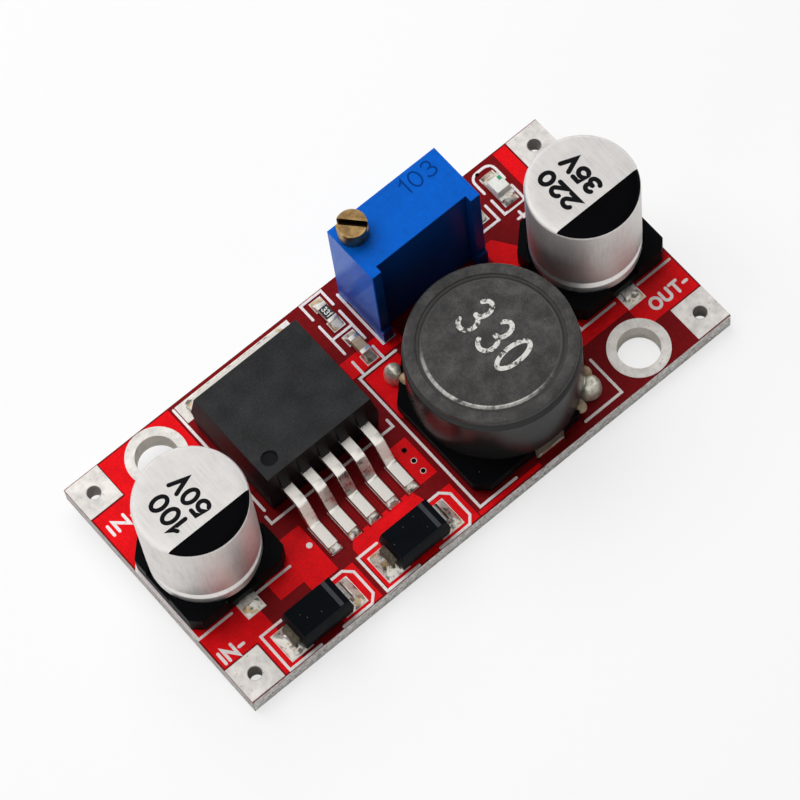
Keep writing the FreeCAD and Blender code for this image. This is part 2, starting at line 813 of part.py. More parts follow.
def make_led(pads, joints):
    """Lamp: base plate, clear lens block and two wrapped terminals."""
    terminals = []
    plate = slab(led_x, led_y, led_width, led_length - 2 * chip_cap_wall, seat_level + chip_cap_wall,
                 led_base_thickness - 2 * chip_cap_wall)
    for side in (-1, 1):
        end = led_y + side * led_length / 2
        near = end - side * led_terminal_length
        wrap = block(led_x - led_width / 2, led_x + led_width / 2, min(end, near), max(end, near),
                     seat_level, seat_level + led_base_thickness)
        terminals.append(wrap.cut(plate))
        middle = led_y + side * (led_length / 2 + chip_pad_length / 4)
        pads.append(slab(led_x, middle, led_width, chip_pad_length, board_top, foil_thickness))
        lower = (led_width - solder_collar, chip_pad_length - solder_collar)
        joint = tapered(led_x, middle, lower, seat_level, (led_width * 0.8, chip_pad_length * 0.6),
                        seat_level + led_base_thickness)
        joints.append(joint.cut(slab(led_x, led_y, led_width, led_length, seat_level, led_base_thickness)))
    lens_top = (led_width - 2 * led_lens_taper, led_lens_length - 2 * led_lens_taper)
    lens_low = seat_level + led_base_thickness - chip_cap_wall
    nodes["led_base"] = plate
    nodes["led_lens"] = tapered(led_x, led_y, (led_width, led_lens_length), lens_low, lens_top,
                                lens_low + led_lens_height)
    nodes["led_terminals"] = group(terminals)


def make_small_parts(pads):
    joints = []
    make_chip("feedback_resistor", feedback_resistor_x, feedback_resistor_y, resistor_thickness, True,
              pads, joints)
    make_chip("feedback_capacitor", feedback_capacitor_x, feedback_capacitor_y, capacitor_thickness,
              False, pads, joints)
    make_chip("led_resistor", led_resistor_x, led_resistor_y, resistor_thickness, True, pads, joints)
    make_led(pads, joints)
    nodes["small_part_solder"] = group(joints)


def trimmer_back_y():
    return board_width / 2 - trimmer_back_gap


def element_back_y():
    return trimmer_back_y() - trimmer_depth + trimmer_recess + trimmer_wall + element_thickness


def screw_axis():
    return trimmer_left_x + screw_inset, trimmer_back_y() - screw_inset


def wheel_centre():
    x, y = screw_axis()
    return vec(x + worm_pitch_radius + wheel_pitch_radius, y, cavity_top_z - wheel_top_gap - wheel_tip_radius)


def make_trimmer_case():
    """Moulded case, open below, with a recessed front, ribs, feet and bearings."""
    x0 = trimmer_left_x
    x1 = x0 + trimmer_length
    y1 = trimmer_back_y()
    y0 = y1 - trimmer_depth
    top = board_top + trimmer_height
    low = cavity_low_z
    shell = block(x0, x1, y0, y1, low, top)
    shell = shell.cut(block(x0 + trimmer_rib_width, x1 - trimmer_rib_width, y0, y0 + trimmer_recess,
                            low, top))
    room = block(x0 + trimmer_wall, x1 - trimmer_wall, y0 + trimmer_recess + trimmer_wall,
                 y1 - trimmer_wall, low, cavity_top_z)
    screw_x, screw_y = screw_axis()
    block_low = board_top + bearing_block_lift
    block_top = block_low + bearing_block_height
    channel_size = 2 * (worm_tip_radius + worm_wall_gap)
    channel = slab(screw_x, screw_y, channel_size, channel_size, low, cavity_top_z - low)
    shell = cut_all(shell, [room, channel])
    bearing = block(x0 + trimmer_wall / 2, x0 + trimmer_wall + bearing_block_width,
                    screw_y - channel_size / 2, y1 - trimmer_wall / 2, block_low, block_top)
    feet = []
    for left in (x0, x1 - trimmer_foot_width):
        for front, back in ((y0 - trimmer_foot_out, y0 + trimmer_foot_width), (y1 - trimmer_foot_width, y1)):
            feet.append(block(left, left + trimmer_foot_width, front, back, board_top, low))
        feet.append(block(left, left + trimmer_foot_width, y0 - trimmer_foot_out, y0 + trimmer_recess / 2,
                          low, low + trimmer_foot_block_height))
    case = fused([shell, bearing] + feet)
    centre = wheel_centre()
    holes = [
        post(screw_x, screw_y, screw_shaft_radius + screw_running_gap, cavity_top_z, trimmer_top_wall),
        post(screw_x, screw_y, screw_shaft_radius + screw_running_gap, block_low, bearing_block_height),
        Part.makeCylinder(wheel_axle_radius + screw_running_gap, axle_socket_depth,
                          vec(centre.x, y1 - trimmer_wall, centre.z), vec(0, 1, 0)),
    ]
    return cut_all(case, holes)


def make_worm_thread(x, y, z_middle):
    """Right-hand trapezoid thread; its crest faces the wheel at z_middle."""
    half_width = worm_pitch * tooth_width_share / 2
    slope = math.tan(math.radians(tooth_flank_angle))
    root = worm_pitch_radius - tooth_dedendum - tooth_addendum / 2
    tip = worm_tip_radius
    root_half = half_width + (worm_pitch_radius - root) * slope
    tip_half = half_width - tooth_addendum * slope
    section = Part.makePolygon([vec(root, 0, -root_half), vec(tip, 0, -tip_half), vec(tip, 0, tip_half),
                                vec(root, 0, root_half), vec(root, 0, -root_half)])
    helix = Part.makeHelix(worm_pitch, worm_turns * worm_pitch, worm_pitch_radius)
    thread = outward(Part.Wire(helix.Edges).makePipeShell([section], True, True))
    thread.rotate(vec(0, 0, 0), vec(0, 0, 1), -180 * worm_turns)
    thread.translate(vec(x, y, z_middle - worm_turns * worm_pitch / 2))
    return thread


def make_screw():
    """Slotted head, plain shaft and worm in one piece."""
    x, y = screw_axis()
    head_low = board_top + trimmer_height + screw_head_lift
    head_top = head_low + screw_head_height
    shaft_low = board_top + bearing_block_lift + screw_end_gap
    shaft_radius = screw_shaft_radius
    shaft = turned([
        (0, shaft_low),
        (shaft_radius, shaft_low),
        (shaft_radius, head_low),
        (screw_head_radius, head_low),
        (screw_head_radius, head_top - screw_head_bevel),
        (screw_head_radius - screw_head_bevel, head_top),
        (0, head_top),
    ], x, y)
    slot = slab(0, 0, 3 * screw_head_radius, screw_slot_width, 0, screw_slot_depth)
    slot.rotate(vec(0, 0, 0), vec(0, 0, 1), screw_slot_angle)
    slot.translate(vec(x, y, head_top - screw_slot_depth))
    thread = make_worm_thread(x, y, wheel_centre().z)
    return shaft.fuse(thread).cut(slot)


def tooth_outline(centre, y):
    """Rack-like teeth round the wheel, with a gap facing the worm."""
    slope = math.tan(math.radians(tooth_flank_angle))
    half_width = worm_pitch * tooth_width_share / 2
    root = wheel_pitch_radius - tooth_dedendum
    tip = wheel_tip_radius
    root_half = (half_width + tooth_dedendum * slope) / root
    tip_half = (half_width - tooth_addendum * slope) / tip
    points = []
    for i in range(wheel_teeth):
        middle = math.pi + (i + 0.5) * 2 * math.pi / wheel_teeth
        for radius, offset in ((root, -root_half), (tip, -tip_half), (tip, tip_half), (root, root_half)):
            angle = middle + offset
            points.append(vec(centre.x + radius * math.cos(angle), y, centre.z + radius * math.sin(angle)))
    return points


def make_wheel():
    """Toothed wheel with an axle that runs in the case's back wall."""
    centre = wheel_centre()
    y0 = centre.y - wheel_thickness / 2
    rim = closed_face(tooth_outline(centre, y0)).extrude(vec(0, wheel_thickness, 0))
    axle_back = trimmer_back_y() - trimmer_wall + axle_socket_depth - axle_end_gap
    axle = Part.makeCylinder(wheel_axle_radius, axle_back - y0, vec(centre.x, y0, centre.z), vec(0, 1, 0))
    return fused([outward(rim), axle])


def make_wiper():
    """Spring contact: one strip fixed flat on the wheel and bent down to the film."""
    centre = wheel_centre()
    plate_y = centre.y - wheel_thickness / 2 - wiper_thickness / 2
    film_y = element_back_y() + wiper_film_gap + wiper_thickness / 2
    fixed_reach = wiper_fixed_share * wheel_pitch_radius
    reach = wiper_reach_share * wheel_pitch_radius
    route = [
        vec(centre.x, plate_y, centre.z - fixed_reach),
        vec(centre.x, plate_y, centre.z + fixed_reach),
        vec(centre.x, film_y, centre.z + reach - wiper_thickness),
        vec(centre.x, film_y, centre.z + reach + wiper_thickness),
    ]
    return bent_strip(route, wiper_thickness, wiper_thickness, wiper_width, vec(1, 0, 0))


def make_element():
    """Ceramic plate against the inside of the case's front wall."""
    x0 = trimmer_left_x + trimmer_wall + element_side_gap
    x1 = trimmer_left_x + trimmer_length - trimmer_wall - element_side_gap
    y1 = element_back_y()
    return block(x0, x1, y1 - element_thickness, y1, board_top + element_lift,
                 cavity_top_z - element_side_gap)


def make_potting(pins):
    """Resin that closes the case from below, level with the case's lower edge."""
    x0 = trimmer_left_x + trimmer_wall
    x1 = trimmer_left_x + trimmer_length - trimmer_wall
    y1 = trimmer_back_y() - trimmer_wall
    y0 = element_back_y() - element_thickness
    low = cavity_low_z
    return cut_all(block(x0, x1, y0, y1, low, low + potting_thickness), pins)


def make_seal_ring():
    """Square ring round the screw, under the case's top wall."""
    screw_x, screw_y = screw_axis()
    inner = screw_shaft_radius + screw_running_gap
    outer = worm_tip_radius
    top = cavity_top_z
    return turned([(inner, top - seal_ring_thickness), (outer, top - seal_ring_thickness),
                   (outer, top), (inner, top)], screw_x, screw_y)


def make_trimmer():
    pins = [slab(x, y, pin_size, pin_size, -pin_below_board, pin_below_board + board_top + pin_rise)
            for x, y in pin_places()]
    nodes["trimmer_case"] = make_trimmer_case()
    nodes["trimmer_screw"] = make_screw()
    nodes["trimmer_worm_wheel"] = make_wheel()
    nodes["trimmer_wiper"] = make_wiper()
    nodes["trimmer_element"] = make_element()
    nodes["trimmer_potting"] = make_potting(pins)
    nodes["trimmer_pins"] = group(pins)
    nodes["trimmer_seal_ring"] = make_seal_ring()
    joints = []
    for (x, y), pin in zip(pin_places(), pins):
        cone = lump(x, y, [(pin_solder_tip_radius, -pin_solder_height), (pin_joint_radius, 0)])
        filling = lump(x, y, [(pin_hole_radius, 0), (pin_hole_radius, board_thickness)])
        joint = fused([cone, filling])
        joints.append(joint.cut(pin))
    nodes["trimmer_solder"] = group(joints)


def main():
    os.makedirs("parts", exist_ok=True)
    pads = []
    make_board()
    make_wire_pads()
    make_mounting_rings()
    make_capacitors(pads)
    make_regulator(pads)
    make_inductor(pads)
    make_diodes(pads)
    make_small_parts(pads)
    make_trimmer()
    nodes["component_pads"] = group(pads)
    for name, shape in nodes.items():
        shape.exportStep("parts/%s.step" % name)


main()
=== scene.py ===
import json
import math

import bpy
import bmesh
import numpy as np
from bpy.props import FloatProperty, FloatVectorProperty, PointerProperty
from mathutils import Matrix, Vector

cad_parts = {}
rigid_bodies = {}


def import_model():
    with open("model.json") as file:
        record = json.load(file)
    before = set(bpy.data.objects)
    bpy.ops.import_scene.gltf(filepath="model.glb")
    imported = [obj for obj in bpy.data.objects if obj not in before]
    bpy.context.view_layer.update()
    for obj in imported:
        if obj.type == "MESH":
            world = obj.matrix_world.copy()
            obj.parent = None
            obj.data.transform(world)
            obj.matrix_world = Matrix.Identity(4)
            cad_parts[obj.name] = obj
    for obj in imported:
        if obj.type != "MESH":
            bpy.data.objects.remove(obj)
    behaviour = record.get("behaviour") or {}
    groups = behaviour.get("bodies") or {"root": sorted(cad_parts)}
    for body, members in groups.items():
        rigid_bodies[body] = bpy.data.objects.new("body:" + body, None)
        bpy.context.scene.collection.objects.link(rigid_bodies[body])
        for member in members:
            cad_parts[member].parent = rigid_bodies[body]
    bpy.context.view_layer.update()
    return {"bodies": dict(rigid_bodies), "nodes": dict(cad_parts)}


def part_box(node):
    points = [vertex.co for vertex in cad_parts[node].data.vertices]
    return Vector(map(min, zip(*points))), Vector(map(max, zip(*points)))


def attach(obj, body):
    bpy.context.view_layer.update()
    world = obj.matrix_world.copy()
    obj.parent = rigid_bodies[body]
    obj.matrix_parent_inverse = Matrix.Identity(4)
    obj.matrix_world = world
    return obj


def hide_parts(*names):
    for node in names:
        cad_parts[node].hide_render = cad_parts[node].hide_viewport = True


bl_info = {
    "name": "Step-down power module",
    "version": (1, 0, 0),
    "blender": (4, 5, 0),
    "location": "3D View > Sidebar > Power module",
    "description": "Dresses the packed frame of a step-down power module",
    "category": "Object",
}

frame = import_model()

MM = 0.001


# Places taken from the frame, in millimetres

def box(node):
    """Lowest and highest corner of a frame node, in millimetres."""
    low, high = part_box(node)
    return np.array(low) / MM, np.array(high) / MM


def middle(node):
    low, high = box(node)
    return (low + high) / 2


BOARD_LOW, BOARD_HIGH = box("circuit_board")
BOARD_TOP = BOARD_HIGH[2]
PAD_TOP = box("component_pads")[1][2]

# Thickness of a printed layer, and what each next line or letter stands above the last one
LAYER = 0.02
STEP = 0.0008

# Points closer than this are one; edges flatter than the first angle go, edges sharper than the second stay
SAME_POINT = 0.001
FLAT_ANGLE = math.radians(1.0)
SHARP_ANGLE = math.radians(32.0)

# Bare rim round the board, and radius of the mask's edge round a mounting hole
COPPER_MARGIN = 0.12
HOLE_CLEARANCE = 1.9

# Each kind of plated hole: radius inside the plating, radius of the hole, radius of the land below
MOUNTING_HOLE = (1.56, 1.6, 2.27)
WIRE_HOLE = (0.51, 0.55, 1.15)

# Power n that rounds the corners of a solder joint's loop
CORNER_POWER = 6.0


# Settings that a user would change

def colour_setting(name, description, default):
    return FloatVectorProperty(name=name, description=description, default=default, size=3,
                               min=0.0, max=1.0, subtype="COLOR")


def length_setting(name, description, default):
    return FloatProperty(name=name, description=description, default=default * MM, min=0.0,
                         subtype="DISTANCE", unit="LENGTH", precision=5)


def level_setting(name, description, default, **more):
    return FloatProperty(name=name, description=description, default=default, min=0.0, **more)


class BoardSettings(bpy.types.PropertyGroup):
    mask: colour_setting("Mask", "Solder mask over copper", (0.82, 0.005, 0.009))
    etched: colour_setting("Etched", "Solder mask where the copper is etched away", (0.19, 0.005, 0.007))
    silk: colour_setting("Print", "White printed lines and words", (0.90, 0.84, 0.83))
    laminate: colour_setting("Laminate", "Cut edge of the glass laminate", (0.86, 0.80, 0.73))
    line_width: length_setting("Line width", "Width of the printed lines", 0.2)


class MetalSettings(bpy.types.PropertyGroup):
    aluminium: colour_setting("Cans", "Drawn aluminium of the capacitor cans", (0.70, 0.675, 0.655))
    tin: colour_setting("Pads", "Tinned pads", (0.74, 0.705, 0.67))
    lead: colour_setting("Leads", "Tinned leads and heat tab", (0.72, 0.69, 0.64))
    solder: colour_setting("Solder", "Solder joints", (0.76, 0.735, 0.68))
    brass: colour_setting("Brass", "Trimmer screw", (0.50, 0.32, 0.13))


class MouldingSettings(bpy.types.PropertyGroup):
    # The regulator colour is for its top, made lighter as a painted sheen; the sides are darker.
    chip: colour_setting("Regulator", "Regulator moulding", (0.021, 0.0215, 0.0225))
    diode: colour_setting("Diodes", "Diode moulding", (0.0015, 0.0025, 0.004))
    black: colour_setting("Seats", "Seat plates and inductor base", (0.0022, 0.0024, 0.003))
    ferrite: colour_setting("Ferrite", "Inductor core and ring", (0.044, 0.042, 0.041))
    blue: colour_setting("Trimmer", "Trimmer case", (0.0004, 0.115, 0.60))
    edge: length_setting("Edge rounding", "Rounding of moulded edges", 0.06)


class StageSettings(bpy.types.PropertyGroup):
    floor: colour_setting("Floor", "Floor and backdrop", (0.93, 0.93, 0.93))
    key: level_setting("Key light", "Power of the large lamp above the module", 1.45, unit="POWER")
    side: level_setting("Side light", "Power of the low lamp on the left", 0.22, unit="POWER")
    front: level_setting("Front light", "Power of the low lamp on the right in front", 0.02, unit="POWER")
    sky: level_setting("Room light", "Strength of the even light from all round", 0.12)
    mirrored: level_setting("Mirrored room", "Strength of the room as metal shows it", 1.2)


# Outlines in plan and profiles

def arc(cx, cy, radius, start, end, steps=20, rise=None):
    """Points (cx + r cos a, cy + r sin a) for a from start to end degrees.

    rise takes the place of r in y for an arc that is taller or flatter than a circle.
    """
    a = np.radians(np.linspace(start, end, steps))
    return np.stack([cx + radius * np.cos(a), cy + (rise or radius) * np.sin(a)], -1)


def rectangle(x0, x1, y0, y1, radius=0.0, steps=5):
    """Rectangle whose corners are quarter circles, run round to the left."""
    if radius <= 0:
        return np.array([(x0, y0), (x1, y0), (x1, y1), (x0, y1)], float)
    r = radius
    return np.vstack([arc(x0 + r, y0 + r, r, 180, 270, steps), arc(x1 - r, y0 + r, r, 270, 360, steps),
                      arc(x1 - r, y1 - r, r, 0, 90, steps), arc(x0 + r, y1 - r, r, 90, 180, steps)])


def disc(cx, cy, radius, steps=40):
    return arc(cx, cy, radius, 0, 360, steps + 1)[:-1]


def stroke(points, width, cap_steps=5):
    """Outline of a line of even width: each corner is moved along its mitre, and the ends are half circles."""
    p = np.asarray(points, float)
    along = np.diff(p, axis=0)
    along /= np.linalg.norm(along, axis=1)[:, None]
    side = np.stack([-along[:, 1], along[:, 0]], -1)
    mitre = np.vstack([side[:1], side[:-1] + side[1:], side[-1:]])
    mitre /= (mitre * np.vstack([side[:1], side[1:], side[-1:]])).sum(1)[:, None]
    left = p + mitre * width / 2
    right = p - mitre * width / 2
    heading = np.degrees(np.arctan2(along[:, 1], along[:, 0]))
    end = arc(*p[-1], width / 2, heading[-1] - 90, heading[-1] + 90, cap_steps)
    start = arc(*p[0], width / 2, heading[0] + 90, heading[0] + 270, cap_steps)
    return np.vstack([right[1:-1], end, left[1:-1][::-1], start])


def rounded(corners, closed=False, steps=6):
    """Path through (a, b, radius) corners, each one rounded by an arc tangent to both sides."""
    c = np.asarray(corners, float)
    out = []
    for i in range(len(c)):
        here, radius = c[i, :2], c[i, 2]
        if radius <= 0 or (not closed and i in (0, len(c) - 1)):
            out.append(here[None])
            continue
        u = c[i - 1, :2] - here
        v = c[(i + 1) % len(c), :2] - here
        u /= np.linalg.norm(u)
        v /= np.linalg.norm(v)
        half = math.acos(float(np.clip(u @ v, -1, 1))) / 2
        reach = radius / math.tan(half)
        centre = here + (u + v) / np.linalg.norm(u + v) * radius / math.sin(half)
        first = here + u * reach - centre
        last = here + v * reach - centre
        t = np.linspace(0, 1, steps)[:, None]
        sweep = math.pi - 2 * half
        mix = (np.sin((1 - t) * sweep) * first + np.sin(t * sweep) * last) / math.sin(sweep)
        out.append(centre + mix)
    return np.vstack(out)


# Width and centre lines of each letter, one unit high

LETTERS = {
    "0": (0.62, [arc(0.31, 0.5, 0.31, 0, 360, 41, 0.5)]),
    "1": (0.28, [[(0.0, 0.76), (0.16, 0.86), (0.26, 1.0), (0.26, 0.0)]]),
    "2": (0.60, [np.vstack([arc(0.3, 0.70, 0.28, 165, -38, rise=0.30), [(0.02, 0.0), (0.60, 0.0)]])]),
    "3": (0.60, [arc(0.28, 0.75, 0.25, 155, -92), arc(0.28, 0.26, 0.32, 92, -155, rise=0.26)]),
    "5": (0.60, [np.vstack([[(0.54, 1.0), (0.12, 1.0), (0.05, 0.52)],
                            arc(0.29, 0.32, 0.31, 118, -150, rise=0.32)])]),
    "V": (0.70, [[(0.0, 1.0), (0.35, 0.0), (0.70, 1.0)]]),
    "I": (0.04, [[(0.02, 0.0), (0.02, 1.0)]]),
    "N": (0.62, [[(0.0, 0.0), (0.0, 1.0), (0.62, 0.0), (0.62, 1.0)]]),
    "O": (0.78, [arc(0.39, 0.5, 0.39, 0, 360, 41, 0.5)]),
    "U": (0.62, [np.vstack([[(0.0, 1.0)], arc(0.31, 0.31, 0.31, 180, 360), [(0.62, 1.0)]])]),
    "T": (0.66, [[(0.0, 1.0), (0.66, 1.0)], [(0.33, 1.0), (0.33, 0.0)]]),
    "+": (0.50, [[(0.0, 0.45), (0.50, 0.45)], [(0.25, 0.20), (0.25, 0.70)]]),
    "-": (0.34, [[(0.0, 0.42), (0.34, 0.42)]]),
}


def wobble(angle, seed, amount):
    """Smooth uneven factor round a joint: 1 + sum of three sines with phases drawn from the seed."""
    rng = np.random.default_rng(seed)
    phases = rng.uniform(0, 2 * np.pi, 3)
    return 1 + amount * sum(np.sin((k + 2) * angle + phases[k]) / (k + 1) for k in range(3))


# Meshes; a finish is named by its key in MATERIALS

MATERIALS = {}

def settle(obj, finish, nodes, body):
    """Gives a piece its finish and its place in the frame."""
    bpy.context.scene.collection.objects.link(obj)
    obj.data.materials.clear()
    obj.data.materials.append(MATERIALS[finish])
    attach(obj, body)
    if nodes:
        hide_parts(*nodes)
    return obj


def new_piece(name, points, faces, finish, slot=None, nodes=(), body="module", sharp=40.0):
    """Mesh from points in millimetres and blocks of faces with equal corner counts."""
    mesh = bpy.data.meshes.new(name)
    corners = np.concatenate([f.ravel() for f in faces])
    sizes = np.concatenate([np.full(len(f), f.shape[1]) for f in faces])
    mesh.vertices.add(len(points))
    mesh.vertices.foreach_set("co", (np.asarray(points) * MM).astype(np.float32).ravel())
    mesh.loops.add(len(corners))
    mesh.loops.foreach_set("vertex_index", corners.astype(np.int32))
    mesh.polygons.add(len(sizes))
    starts = np.concatenate([[0], np.cumsum(sizes)[:-1]])
    mesh.polygons.foreach_set("loop_start", starts.astype(np.int32))
    mesh.update(calc_edges=True)
    mesh.validate()
    mesh.shade_smooth()
    mesh.set_sharp_from_angle(angle=math.radians(sharp))
    return settle(bpy.data.objects.new(name, mesh), finish, nodes, body)


def skin_faces(rows_count, loop_count, wrap):
    """Quads between neighbouring rows of a grid whose rows are closed loops."""
    i = np.arange(rows_count if wrap else rows_count - 1)[:, None]
    j = np.arange(loop_count)[None, :]
    up = (i + 1) % rows_count
    nxt = (j + 1) % loop_count
    return np.stack([i * loop_count + j, i * loop_count + nxt, up * loop_count + nxt,
                     up * loop_count + j], -1).reshape(-1, 4)


def skin(rows, wrap=False):
    """Surface through rows of points, each a loop run round to the left, from low to high.

    Point (i, j) joins (i, j+1), (i+1, j+1) and (i+1, j). With wrap the last row joins the first,
    otherwise both ends are closed by a fan to the middle of the end row.
    """
    rows = np.asarray(rows, float)
    m, n, _ = rows.shape
    points = rows.reshape(-1, 3)
    faces = [skin_faces(m, n, wrap)]
    if not wrap:
        k = np.arange(n)
        nxt = (k + 1) % n
        points = np.vstack([points, rows[0].mean(0), rows[-1].mean(0)])
        faces.append(np.stack([np.full(n, m * n), nxt, k], -1))
        faces.append(np.stack([np.full(n, m * n + 1), (m - 1) * n + k, (m - 1) * n + nxt], -1))
    return points, faces


def turned_rows(profile, cx, cy, steps=96):
    """Profile (r, z) turned upright: x = cx + r cos a, y = cy + r sin a, z = z."""
    profile = np.asarray(profile, float)
    a = np.linspace(0, 2 * np.pi, steps, endpoint=False)
    r = profile[:, :1]
    return np.stack([cx + r * np.cos(a), cy + r * np.sin(a), np.repeat(profile[:, 1:], steps, 1)], -1)


def turned(name, profile, cx, cy, finish, wrap=False, steps=96, **place):
    points, faces = skin(turned_rows(profile, cx, cy, steps), wrap)
    return new_piece(name, points, faces, finish, **place)


def band(path, width, z0, z1):
    """Closed path, run round to the left, widened by half the width to both sides between two heights."""
    ahead = np.roll(path, -1, 0) - np.roll(path, 1, 0)
    ahead /= np.linalg.norm(ahead, axis=1)[:, None]
    side = np.stack([-ahead[:, 1], ahead[:, 0]], -1) * width / 2
    rows = ((path + side, z0), (path - side, z0), (path - side, z1), (path + side, z1))
    return skin([np.column_stack([plan, np.full(len(path), z)]) for plan, z in rows], True)


class Bundle:
    """Several closed shapes gathered into one mesh."""

    def __init__(self):
        self.points = []
        self.faces = []
        self.count = 0

    def add(self, points, faces):
        self.points.append(np.asarray(points, float))
        self.faces += [f + self.count for f in faces]
        self.count += len(points)

    def plate(self, outline, z0, z1):
        """Outline in plan between two heights: a face at each end and one quad for each side."""
        n = len(outline)
        low = np.column_stack([outline, np.full(n, z0)])
        high = np.column_stack([outline, np.full(n, z1)])
        k = np.arange(n)
        nxt = (k + 1) % n
        self.add(np.vstack([low, high]), [np.stack([k, nxt, nxt + n, k + n], -1), k[::-1][None], (k + n)[None]])

    def plates(self, places, z0, z1):
        """Rectangles (x0, x1, y0, y1) between two heights."""
        for place in places:
            self.plate(rectangle(*place), z0, z1)

    def ring(self, cx, cy, inner, outer, z0, z1, steps=48):
        """Flat ring between two radii and two heights."""
        profile = [(inner, z0), (outer, z0), (outer, z1), (inner, z1)]
        self.add(*skin(turned_rows(profile, cx, cy, steps), True))

    def words(self, text, x0, x1, y0, y1, z, width, turn=0.0, gap=0.3, thickness=LAYER):
        """Letters drawn with an even stroke and fitted into a rectangle; turn is the reading direction."""
        lines, pen = [], 0.0
        for letter in text:
            advance, strokes = LETTERS[letter]
            lines += [np.array(line) + (pen, 0) for line in strokes]
            pen += advance + gap
        a = math.radians(turn)
        along = np.array([math.cos(a), math.sin(a)])
        across = np.array([-math.sin(a), math.cos(a)])
        size = np.array([x1 - x0, y1 - y0])
        reach = np.abs(along) @ size - width, np.abs(across) @ size - width
        for k, line in enumerate(lines):
            share = line / (pen - gap, 1.0) - 0.5
            plan = share[:, :1] * reach[0] * along + share[:, 1:] * reach[1] * across
            plan += np.array([x0 + x1, y0 + y1]) / 2
            self.line(plan, width, z, z + thickness + k * STEP)

    def line(self, path, width, z0, z1):
        """Line of even width along a path; a path that ends where it starts makes a closed band."""
        if np.allclose(path[0], path[-1]):
            self.add(*band(np.asarray(path)[:-1], width, z0, z1))
        else:
            self.plate(stroke(path, width), z0, z1)

    def build(self, name, finish, **place):
        return new_piece(name, np.vstack(self.points), self.faces, finish, **place)


def softened(node, name, finish, width, segments=2):
    """Copy of a frame node with its triangles merged, its edges rounded and its flat faces kept flat."""
    source = frame["nodes"][node]
    mesh = source.data.copy()
    mesh.name = name
    work = bmesh.new()
    work.from_mesh(mesh)
    bmesh.ops.remove_doubles(work, verts=work.verts, dist=SAME_POINT * MM)
    bmesh.ops.dissolve_limit(work, angle_limit=FLAT_ANGLE, verts=work.verts, edges=work.edges)
    work.to_mesh(mesh)
    work.free()
    mesh.shade_smooth()
    mesh.set_sharp_from_angle(angle=SHARP_ANGLE)
    body = next(b for b, empty in frame["bodies"].items() if source.parent == empty)
    piece = settle(bpy.data.objects.new(name, mesh), finish, (node,), body)
    bevel = piece.modifiers.new("rounded edges", "BEVEL")
    bevel.limit_method = "ANGLE"
    bevel.angle_limit = SHARP_ANGLE
    bevel.width = width * MM
    bevel.segments = segments
    bevel.use_clamp_overlap = True
    normals = piece.modifiers.new("flat faces", "WEIGHTED_NORMAL")
    normals.keep_sharp = False
    return piece


def dress(nodes, finish):
    """Gives frame nodes that stay as they are their finish."""
    for node in nodes:
        data = frame["nodes"][node].data
        data.materials.clear()
        data.materials.append(MATERIALS[finish])


# Shared effects

def effect(name, inputs, outputs):
    """Node group that takes a place and the inputs; returns it, its two ends and the place in millimetres."""
    group = bpy.data.node_groups.new(name, "ShaderNodeTree")
    group.interface.new_socket(name="Place", in_out="INPUT", socket_type="NodeSocketVector")
    for label, value in inputs.items():
        kind = "NodeSocketVector" if isinstance(value, tuple) else "NodeSocketFloat"
        group.interface.new_socket(name=label, in_out="INPUT", socket_type=kind).default_value = value
    for label in outputs:
        group.interface.new_socket(name=label, in_out="OUTPUT", socket_type="NodeSocketFloat")
    start, end = group.nodes.new("NodeGroupInput"), group.nodes.new("NodeGroupOutput")
    place = add_node(group, "ShaderNodeVectorMath", {0: start.outputs["Place"], 3: 1 / MM}, operation="SCALE")
    return group, start.outputs, end.inputs, place.outputs[0]


def add_node(tree, kind, values=None, **settings):
    """Node with its settings; values are numbers or the outputs that feed its inputs."""
    node = tree.nodes.new(kind)
    for key, value in settings.items():
        setattr(node, key, value)
    for key, value in (values or {}).items():
        if isinstance(value, bpy.types.NodeSocket):
            tree.links.new(value, node.inputs[key])
        else:
            node.inputs[key].default_value = value
    return node


def calc(tree, operation, first, second):
    """Output of one calculation."""
    return add_node(tree, "ShaderNodeMath", {0: first, 1: second}, operation=operation).outputs[0]


def make_grain():
    """Fine grain of a moulding or casting: a shade and a height that vary with two noises."""
    group, given, result, place = effect("moulding grain", {"Scale": 8.0, "Patches": 0.6}, ("Shade", "Height"))
    fine = add_node(group, "ShaderNodeTexNoise", {"Vector": place, "Scale": given["Scale"], "Detail": 3.0,
                                                  "Roughness": 0.6}).outputs["Fac"]
    broad = add_node(group, "ShaderNodeTexNoise", {"Vector": place, "Scale": given["Patches"],
                                                   "Detail": 3.0}).outputs["Fac"]
    group.links.new(calc(group, "MULTIPLY", calc(group, "ADD", fine, broad), 0.5), result["Shade"])
    group.links.new(fine, result["Height"])
    return group


def make_specks():
    """Sparse round specks, such as dust or pits: 1 inside a speck and 0 outside."""
    group, given, result, place = effect("specks", {"Scale": 2.0, "Size": 0.12, "Share": 0.3}, ("Mask",))
    cells = add_node(group, "ShaderNodeTexVoronoi", {"Vector": place, "Scale": given["Scale"]})
    inside = calc(group, "LESS_THAN", cells.outputs["Distance"], given["Size"])
    draw = add_node(group, "ShaderNodeSeparateColor", {0: cells.outputs["Color"]})
    chosen = calc(group, "LESS_THAN", draw.outputs[0], given["Share"])
    group.links.new(calc(group, "MULTIPLY", inside, chosen), result["Mask"])
    return group


def make_drawn_lines():
    """Fine lines of drawn or brushed metal: noise stretched along one direction."""
    group, given, result, place = effect("drawn lines", {"Stretch": (12.0, 0.4, 0.4)}, ("Lines",))
    stretched = add_node(group, "ShaderNodeVectorMath", {0: place, 1: given["Stretch"]}, operation="MULTIPLY")
    lines = add_node(group, "ShaderNodeTexNoise", {"Vector": stretched.outputs[0], "Scale": 1.0, "Detail": 4.0})
    group.links.new(lines.outputs["Fac"], result["Lines"])
    return group


EFFECTS = {}


